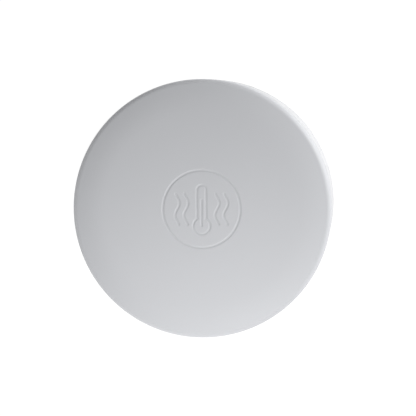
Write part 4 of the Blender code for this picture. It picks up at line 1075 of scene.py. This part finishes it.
def sounderPieces():
    # A turned cup with a sound outlet in its roof, the ring that holds the disc against the cup's ledge, the
    # two layers of the disc, and two leaves that press on them.
    low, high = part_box("sounder_housing")
    radius, top = high.x, high.z
    inner = radius - sounder["wall"]
    ledge = top - sounder["wall"] - sounder["chamber"]
    ring = inner - sounder["ledge"]
    grooveIn, grooveOut, grooveDepth = sounder["topRing"]
    roof = top - sounder["wall"]
    outlet = sounder["outlet"]
    small = 0.15 * mm
    housing = turned("sounderHousing", filletOutline([
        (outlet, top, 0.4 * mm), (grooveIn, top, small), (grooveIn, top - grooveDepth, small),
        (grooveOut, top - grooveDepth, small), (grooveOut, top, small), (radius, top, 0.4 * mm),
        (radius, low.z, small), (inner, low.z, small), (inner, ledge, small), (ring, ledge, small),
        (ring, roof, 0.3 * mm), (outlet, roof, 0.3 * mm)]), 128)
    dress(housing, "head", "black_plastic", "sounder_housing")
    low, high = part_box("sounder_retainer")
    retainer = turned("sounderRetainer", filletOutline([
        (ring, high.z, small), (high.x, high.z, small), (high.x, low.z, small), (ring, low.z, small)]), 128)
    dress(retainer, "head", "black_plastic", "sounder_retainer")
    for name, node, slotName in (("sounderDisc", "sounder_diaphragm", "brass"),
                                 ("sounderCeramic", "sounder_element", "ceramic")):
        low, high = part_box(node)
        edge = (high.z - low.z) / 3
        disc = post(name, high.x, low.z, high.z, (0, 0), edge, 128)
        dress(disc, "head", slotName, node)
    for number in (1, 2):
        node = f"sounder_contact_{number}"
        low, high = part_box(node)
        leafSpring(f"sounderLeaf{number}", node, low, high)


def leafSpring(name, node, low, high):
    # A bent strip: a foot on the board, a slope, and a pad that presses up. Both bends are arcs.
    thick = sounder["leafThickness"]
    length = high.x - low.x
    foot, pad = low.x + 0.3 * length, high.x - 0.3 * length
    outline = filletOutline([
        (low.x, low.z, 0.05 * mm), (foot, low.z, 0.6 * mm), (pad, high.z - thick, 0.4 * mm),
        (high.x, high.z - thick, 0.05 * mm), (high.x, high.z, 0.05 * mm), (pad, high.z, 0.6 * mm),
        (foot, low.z + thick, 0.4 * mm), (low.x, low.z + thick, 0.05 * mm)])
    place = (0, (low.y + high.y) / 2, 0)
    dress(prism(name, outline, high.y - low.y, upright(0, place), 0.05 * mm), "head", "nickel", node)


sounderPieces()
print("stage: sounder made")

testSwitch = {
    "corner": 0.5 * mm,
    "edge": 0.15 * mm,
    "wellRadius": 1.9 * mm,
    "wellDepth": 1.2 * mm,
    "rivet": (0.45 * mm, 2.25 * mm, 0.22 * mm),   # radius, distance to each side, height
    "leg": (1.4 * mm, 1.3 * mm, 0.7 * mm, 0.2 * mm),      # height, reach, width and thickness
    "legPitch": 4.5 * mm,
}


def legOutline(height, reach, thick):
    # A bent lead seen from the side: out from the body, down, and out along the board.
    return filletOutline([
        (0, height, 0.02 * mm), (0.45 * reach, height, 0.12 * mm), (0.62 * reach, thick, 0.1 * mm),
        (reach, thick, 0.03 * mm), (reach, 0, 0.03 * mm), (0.45 * reach, 0, 0.12 * mm),
        (0.3 * reach, height - thick, 0.05 * mm), (0, height - thick, 0.02 * mm)])


def leads(name, place, angle, half, count, pitch, size, sides):
    # A row of bent leads on each of the sides, whose angles are measured from the chip's own angle.
    height, reach, width, thick = size
    outline = legOutline(height, reach, thick)
    made = []
    for side in sides:
        turn = angle + side
        outX, outY = onCircle(turn, half)
        rowX, rowY = onCircle(turn + 90, 1.0)
        for shift in (np.arange(count) - (count - 1) / 2) * pitch:
            start = (place[0] + outX + shift * rowX, place[1] + outY + shift * rowY, boardHigh.z)
            made.append(prism("lead", outline, width, upright(turn, start), 0.02 * mm))
    return joined(name, made)


def switchPieces():
    # A block with a round well for the plunger, a metal plate over it with four rivets, and four bent legs.
    low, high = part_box("switch_base")
    x, y = switchPlace
    size = (high.x - low.x, high.y - low.y, high.z - low.z)
    block = roundedBlock("switchBase", size, (x, y, (low.z + high.z) / 2), testSwitch["corner"],
                         testSwitch["edge"])
    well = testSwitch["wellRadius"]
    carve(block, [post("well", well, high.z - testSwitch["wellDepth"], high.z + mm, (x, y), 0.1 * mm, 48)])
    dress(block, "head", "black_plastic", "switch_base")
    lidLow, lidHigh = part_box("switch_cover")
    plate = roundedBlock("switchPlate", (size[0], size[1], lidHigh.z - lidLow.z),
                         (x, y, (lidLow.z + lidHigh.z) / 2), testSwitch["corner"], 0.06 * mm)
    carve(plate, [post("hole", well, lidLow.z - mm, lidHigh.z + mm, (x, y), 0.1 * mm, 48)])
    dress(plate, "head", "nickel", "switch_cover")
    radius, out, tall = testSwitch["rivet"]
    rivetLow, rivetTop = high.z - 0.1 * mm, lidHigh.z + tall
    rivets = [post("rivet", radius, rivetLow, rivetTop, (x + i * out, y + j * out), 0.2 * mm, 24)
              for i in (-1, 1) for j in (-1, 1)]
    dress(joined("switchRivets", rivets), "head", "black_plastic", "switch_base")
    legs = leads("switchLegs", (x, y), 90, size[1] / 2 - 0.1 * mm, 2, testSwitch["legPitch"],
                 testSwitch["leg"], (0, 180))
    dress(legs, "head", "nickel", "switch_base")
    low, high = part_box("switch_plunger")
    plunger = turnedSolid("switchPlunger", [
        (0, low.z, 0), (high.x - x, low.z, 0.15 * mm), (high.x - x, high.z, 0.4 * mm), (0, high.z, 0)],
        48, (x, y, 0))
    dress(plunger, "plunger", "black_plastic", "switch_plunger")


switchPieces()
print("stage: test switch made")

sensor = {
    "leadRadius": 0.25 * mm,
    "nearBead": 0.4 * mm,             # from the axis to each lead where it enters the bead
    "boreRadius": 0.6 * mm,
}


def sensorPieces():
    # The bead's radius follows a half circle along its height, drawn in a little towards the leads. The leads
    # come closer to each other on their way up, by the smooth step s s (3 - 2 s).
    low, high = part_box("thermistor_bead")
    x = sensorPlace[0]
    share = np.linspace(0, np.pi, 41)
    middle, half, radius = (low.z + high.z) / 2, (high.z - low.z) / 2, high.x - x
    rise = -np.cos(share)
    outline = np.stack((radius * np.sin(share) * (1 + 0.12 * rise) / 1.01, middle + half * rise), -1)
    outline[[0, -1], 0] = 0
    bead = turned("thermistorBead", outline, 48, (x, 0, 0), closed=False)
    dress(bead, "head", "bead_epoxy", "thermistor_bead")
    beadLow = low.z
    for number, side in ((1, 1), (2, -1)):
        low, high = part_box(f"thermistor_lead_{number}")
        height = np.linspace(low.z, beadLow - 0.05 * mm, 60)
        share = np.clip((height - deckTop) / (beadLow - gap - deckTop), 0, 1)
        ease = share * share * (3 - 2 * share)
        wide = board["leadPitch"] / 2
        across = side * (wide + (sensor["nearBead"] - wide) * ease)
        path = np.stack((np.full_like(height, x), across, height), -1)
        lead = tubeAlong(f"thermistorLead{number}", path, sensor["leadRadius"], 12)
        dress(lead, "head", "nickel", f"thermistor_lead_{number}")
    low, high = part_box("thermistor_holder")
    holder = post("thermistorHolder", high.x - x, low.z, high.z, (x, 0), 0.3 * mm, 64)
    carve(holder, [post("bore", sensor["boreRadius"], low.z - mm, high.z + mm,
                        (x, side * board["leadPitch"] / 2), 0.1 * mm, 24) for side in (-1, 1)])
    dress(holder, "head", "black_plastic", "thermistor_holder")


sensorPieces()
print("stage: heat sensor made")

lamp = {
    "radius": 1.5 * mm,
    "flange": (1.75 * mm, 0.8 * mm),          # radius and thickness
    "cone": 1.4 * mm,                         # sunk into the light guide's upper end
    "posts": (0.45 * mm, 0.7 * mm, 2.0 * mm), # inside the resin: width, distance to the middle, height
}


def lampPieces():
    # The bulb is a turned flange and body with a nearly round top. Two metal posts of unequal height stand
    # inside it. The light guide is a rod whose upper end falls evenly to its middle.
    low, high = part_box("status_lamp")
    radius = lamp["radius"]
    rim, thick = lamp["flange"]
    flangeTop = low.z + thick
    bulb = turnedSolid("statusLamp", [
        (0, low.z, 0), (rim, low.z, 0.1 * mm), (rim, flangeTop, 0.1 * mm), (radius, flangeTop, 0.05 * mm),
        (radius, high.z, 0.97 * radius), (0, high.z, 0)], 64, (*lampPlace, 0), filletSteps=10)
    dress(bulb, "head", "lamp_resin", "status_lamp")
    wide, away, tall = lamp["posts"]
    foot = low.z + 0.2 * mm
    posts = [roundedBlock("frame", (wide, wide, tall * share),
                          (lampPlace[0] + side * away, lampPlace[1], foot + tall * share / 2),
                          0.1 * mm, 0.08 * mm) for side, share in ((-1, 1.0), (1, 0.8))]
    dress(joined("lampFrame", posts), "head", "nickel", "status_lamp")
    low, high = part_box("light_guide")
    radius = (high.x - low.x) / 2
    hollow = high.z - lamp["cone"]
    guide = turnedSolid("lightGuide", [
        (0, low.z, 0), (radius, low.z, 0.15 * mm), (radius, high.z, 0.12 * mm), (0, hollow, 0)],
        64, (*lampPlace, 0))
    dress(guide, "head", "clear_acrylic", "light_guide")


lampPieces()
print("stage: lamp made")

chips = {
    "microcontroller": {"size": (6.0 * mm, 6.0 * mm), "angle": 270, "sides": (0, 90, 180, 270),
                        "count": 8, "pitch": 0.65 * mm, "reach": 0.7 * mm, "width": 0.26 * mm},
    "driver_chip": {"size": (5.0 * mm, 4.0 * mm), "angle": 210, "sides": (90, 270),
                    "count": 4, "pitch": 1.0 * mm, "reach": 0.8 * mm, "width": 0.4 * mm},
}
chipLeadThickness = 0.14 * mm
chipDot = (0.35 * mm, 0.8 * mm, 0.08 * mm)        # radius, distance to both edges, depth


def chip(node, name):
    # The body narrows from its middle to its top and bottom, as moulded bodies do, and has a round mark for
    # its first lead.
    values = chips[node]
    angle = values["angle"]
    low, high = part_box(node)
    x, y = (low.x + high.x) / 2, (low.y + high.y) / 2
    long, wide = values["size"]
    tall = high.z - low.z
    body = roundedBlock(name, (long, wide, tall), (x, y, (low.z + high.z) / 2), 0.15 * mm, 0.1 * mm, angle)
    turn = math.radians(angle)
    radius, inset, depth = chipDot
    dotX, dotY = long / 2 - inset, wide / 2 - inset
    place = (x + dotX * math.cos(turn) - dotY * math.sin(turn),
             y + dotX * math.sin(turn) + dotY * math.cos(turn))
    carve(body, [post("dot", radius, high.z - depth, high.z + mm, place, 0.03 * mm, 32)])
    dress(body, "head", "black_plastic", node)
    size = (low.z - boardHigh.z + tall * 0.5, values["reach"], values["width"], chipLeadThickness)
    for side in values["sides"]:
        half = (long if side % 180 == 0 else wide) / 2 - 0.05 * mm
        row = leads(f"{name}Leads{side}", (x, y), angle, half, values["count"], values["pitch"], size,
                    (side,))
        dress(row, "head", "nickel", node)


chip("microcontroller", "controllerChip")
chip("driver_chip", "driverChip")
print("stage: chips made")

capacitor = {
    "groove": (1.3 * mm, 0.28 * mm),              # from the can's open end to its middle, and its depth
    "sleeve": 0.1 * mm,                           # thickness
    "score": (3.6 * mm, 0.3 * mm, 0.12 * mm),     # length, width and depth of each line on the can's end
}
inductor = {
    "coreRadius": 1.6 * mm,
    "flange": 0.8 * mm,                           # thickness
    "turns": 7,
}


def canPieces():
    # The can is turned with a rolled groove near the board, scored with a cross on its end, and sleeved.
    low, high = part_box("capacitor")
    x, y = (low.x + high.x) / 2, (low.y + high.y) / 2
    radius = high.y - y
    thin = radius - capacitor["sleeve"]
    away, depth = capacitor["groove"]
    groove = high.z - away
    can = turnedSolid("capacitorCan", [
        (0, high.z, 0), (thin, high.z, 0.3 * mm), (thin, groove + 0.5 * mm, 0.2 * mm),
        (thin - depth, groove, 0.2 * mm), (thin, groove - 0.5 * mm, 0.2 * mm),
        (thin, low.z, 0.5 * mm), (0, low.z, 0)], 64, (x, y, 0))
    length, wide, deep = capacitor["score"]
    carve(can, [roundedBlock("score", (length, wide, 2 * deep), (x, y, low.z), 0.1 * mm, 0.05 * mm)])
    carve(can, [roundedBlock("score", (wide, length, 2 * deep), (x, y, low.z), 0.1 * mm, 0.05 * mm)])
    dress(can, "head", "can_aluminium", "capacitor")
    sleeveIn, sleeveTop, sleeveLow = thin + 0.01 * mm, groove - 0.7 * mm, low.z + 0.6 * mm
    sleeve = turned("capacitorSleeve", filletOutline([
        (sleeveIn, sleeveTop, 0.02 * mm), (radius, sleeveTop, 0.04 * mm),
        (radius, sleeveLow, 0.04 * mm), (sleeveIn, sleeveLow, 0.02 * mm)], 3), 64, (x, y, 0))
    dress(sleeve, "head", "black_plastic", "capacitor")


def coilPieces():
    # The winding's outline bulges once for each turn of wire: the bulge is the height of a circle, the square
    # root of 1 less the square of the distance from the wire's middle.
    low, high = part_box("boost_coil_core")
    x, y = (low.x + high.x) / 2, (low.y + high.y) / 2
    radius, core, flange = high.y - y, inductor["coreRadius"], inductor["flange"]
    upper, lower, small = high.z - flange, low.z + flange, 0.15 * mm
    drum = turnedSolid("coilCore", [
        (0, high.z, 0), (radius, high.z, small), (radius, upper, small), (core, upper, small),
        (core, lower, small), (radius, lower, small), (radius, low.z, small), (0, low.z, 0)], 64, (x, y, 0))
    dress(drum, "head", "ferrite", "boost_coil_core")
    low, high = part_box("boost_coil_winding")
    tall = high.z - low.z
    wire = tall / inductor["turns"] / 2
    height = np.linspace(low.z, high.z, inductor["turns"] * 8 + 1)
    away = ((height - low.z) / (2 * wire)) % 1 * 2 - 1
    out = high.y - y - wire + wire * np.sqrt(np.clip(1 - away ** 2, 0.02, 1))
    within = np.array(((core + gap, high.z), (core + gap, low.z)))
    outline = np.vstack((np.stack((out, height), -1), within))
    winding = turned("coilWinding", outline, 64, (x, y, 0))
    dress(sharpen(winding), "head", "copper", "boost_coil_winding")


canPieces()
coilPieces()
print("stage: capacitor and coil made")

screw = {
    "headRadius": 2.4 * mm,
    "shankRadius": 1.2 * mm,
    "coreRadius": 0.92 * mm,
    "pitch": 0.9 * mm,
    "tip": 1.3 * mm,
    "cross": (3.2 * mm, 0.62 * mm, 0.9 * mm),     # length, width and depth of the recess
}


def housingScrews():
    # The first screw is made from a turned head with a cross cut into it and a threaded shank, then copied.
    # The thread is a ridge that climbs round the shank: at a height z and an angle a, the radius is greatest
    # where z / pitch less a / one turn is a whole number. Near the tip the radius narrows to a point.
    low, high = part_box("housing_screw_1")
    x, y = onCircle(bossAngles[0], bossDistance)
    seat = low.z + screwHead
    radius = screw["headRadius"]
    head = turnedSolid("screwHead", [
        (0, low.z, 0), (radius, low.z, 0.95 * mm), (radius, seat, 0.12 * mm), (0, seat, 0)], 64, (x, y, 0),
        filletSteps=8)
    length, wide, deep = screw["cross"]
    for size in ((length, wide), (wide, length)):
        carve(head, [roundedBlock("cross", (*size, 2 * deep), (x, y, low.z), 0.15 * mm, 0.25 * mm)])
    angle = np.linspace(0, tau, 28, endpoint=False)[:, None]
    height = np.linspace(seat - 0.1 * mm, high.z, 96)[None]
    crest = 1 - 2.6 * abs((height / screw["pitch"] - angle / tau) % 1 - 0.5)
    ridge = screw["coreRadius"] + (screw["shankRadius"] - screw["coreRadius"]) * np.clip(crest, 0, 1)
    narrow = np.clip((high.z - height) / screw["tip"], 0, 1) * screw["shankRadius"]
    shank = np.minimum(ridge, narrow)
    shank = np.concatenate((0 * shank[:, :1], shank), 1)
    height = np.broadcast_to(np.concatenate((height[:, :1], height), 1), shank.shape)
    points = np.stack((x + shank * np.cos(angle), y + shank * np.sin(angle), height), -1)
    first = joined("housingScrew1", [head, sharpen(meshFromGrid("screwShank", points))])
    sharpen(first)
    for number, turn in enumerate(bossAngles, 1):
        toX, toY = onCircle(turn, bossDistance)
        piece = first if number == 1 else copied(first, f"housingScrew{number}", (toX - x, toY - y, 0))
        dress(piece, "head", "screw_steel", f"housing_screw_{number}")


housingScrews()
print("stage: screws made")

view = {
    "distance": 0.5,         # metres
    "tilt": 5.5,             # degrees away from straight on
    "towards": 37.5,         # the side that the camera leans to, degrees from +X
    "lens": 172.0,           # focal length in millimetres
    "aim": (1.4 * mm, 0.1 * mm, 34.0 * mm),
}
studio = {
    "key": {"azimuth": -83.0, "reach": 0.092, "height": 0.177, "size": 0.11, "power": 0.237},
    "rim": {"azimuth": 30.0, "reach": 0.24, "height": 0.07, "size": 0.08, "power": 0.37},
    "sky": 0.12,
    "floorGlow": 0.975,
}


def addCamera():
    # back points from the aim to the camera, tilted away from +Z. right lies across it, along X as nearly as
    # it can, and up completes the three.
    tilt, towards = math.radians(view["tilt"]), math.radians(view["towards"])
    back = Vector((math.sin(tilt) * math.cos(towards), math.sin(tilt) * math.sin(towards), math.cos(tilt)))
    data = bpy.data.cameras.new("camera")
    data.lens = view["lens"]
    data.sensor_width = 36
    data.clip_start, data.clip_end = 0.01, 20
    camera = bpy.data.objects.new("camera", data)
    right = Vector((1, 0, 0)) - back * back.x
    right.normalize()
    up = back.cross(right)
    camera.matrix_world = Matrix((right, up, back)).transposed().to_4x4()
    camera.location = Vector(view["aim"]) + back * view["distance"]
    bpy.context.scene.collection.objects.link(camera)
    bpy.context.scene.camera = camera


def addLight(name, azimuth, reach, height, size, power, target=(0, 0, 0.02)):
    # A round lamp beside the object, turned to face the target.
    data = bpy.data.lights.new(name, "AREA")
    data.shape = "DISK"
    data.size = size
    data.energy = power
    light = bpy.data.objects.new(name, data)
    x, y = onCircle(azimuth, reach)
    light.location = (x, y, height)
    light.rotation_euler = (Vector(target) - light.location).to_track_quat("-Z", "Y").to_euler()
    bpy.context.scene.collection.objects.link(light)


def addFloor():
    # A wide flat sheet with a slow upward curve far from the middle: height grows with the square of the
    # distance beyond the flat.
    radius = np.concatenate((np.linspace(0, 0.6, 4), np.linspace(0.7, 3.0, 14)))
    height = 0.12 * np.clip(radius - 0.7, 0, None) ** 2
    floor = turned("floor", np.stack((radius, height), -1), 48, (0, 0, -0.02 * mm), closed=False)
    n = Nodes("paleFloor")
    cloud = n.noise(6, 2)
    n.finish(n.mixed(cloud, (0.11, 0.11, 0.11), (0.13, 0.13, 0.13)), None, None,
             Roughness=0.9, Specular_IOR_Level=0.0, Emission_Color=(1, 1, 1, 1),
             Emission_Strength=studio["floorGlow"])
    floor.data.materials.append(n.material)


addCamera()
for lightName in ("key", "rim"):
    addLight(lightName, **studio[lightName])
addFloor()
world = bpy.data.worlds.new("sky")
world.use_nodes = True
world.node_tree.nodes["Background"].inputs["Color"].default_value = (0.985, 0.99, 1, 1)
world.node_tree.nodes["Background"].inputs["Strength"].default_value = studio["sky"]
bpy.context.scene.world = world
bpy.context.scene.view_settings.view_transform = "Standard"
print("stage: camera, lights and floor set")

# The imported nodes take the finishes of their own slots.
slotOf = {part["node"]: part["material_slot"] for part in frame["record"]["subparts"]}
for nodeName, nodeObject in frame["nodes"].items():
    nodeObject.data.materials.clear()
    nodeObject.data.materials.append(finishes[slotOf[nodeName]])
print("stage: packed nodes dressed")

bpy.context.view_layer.update()
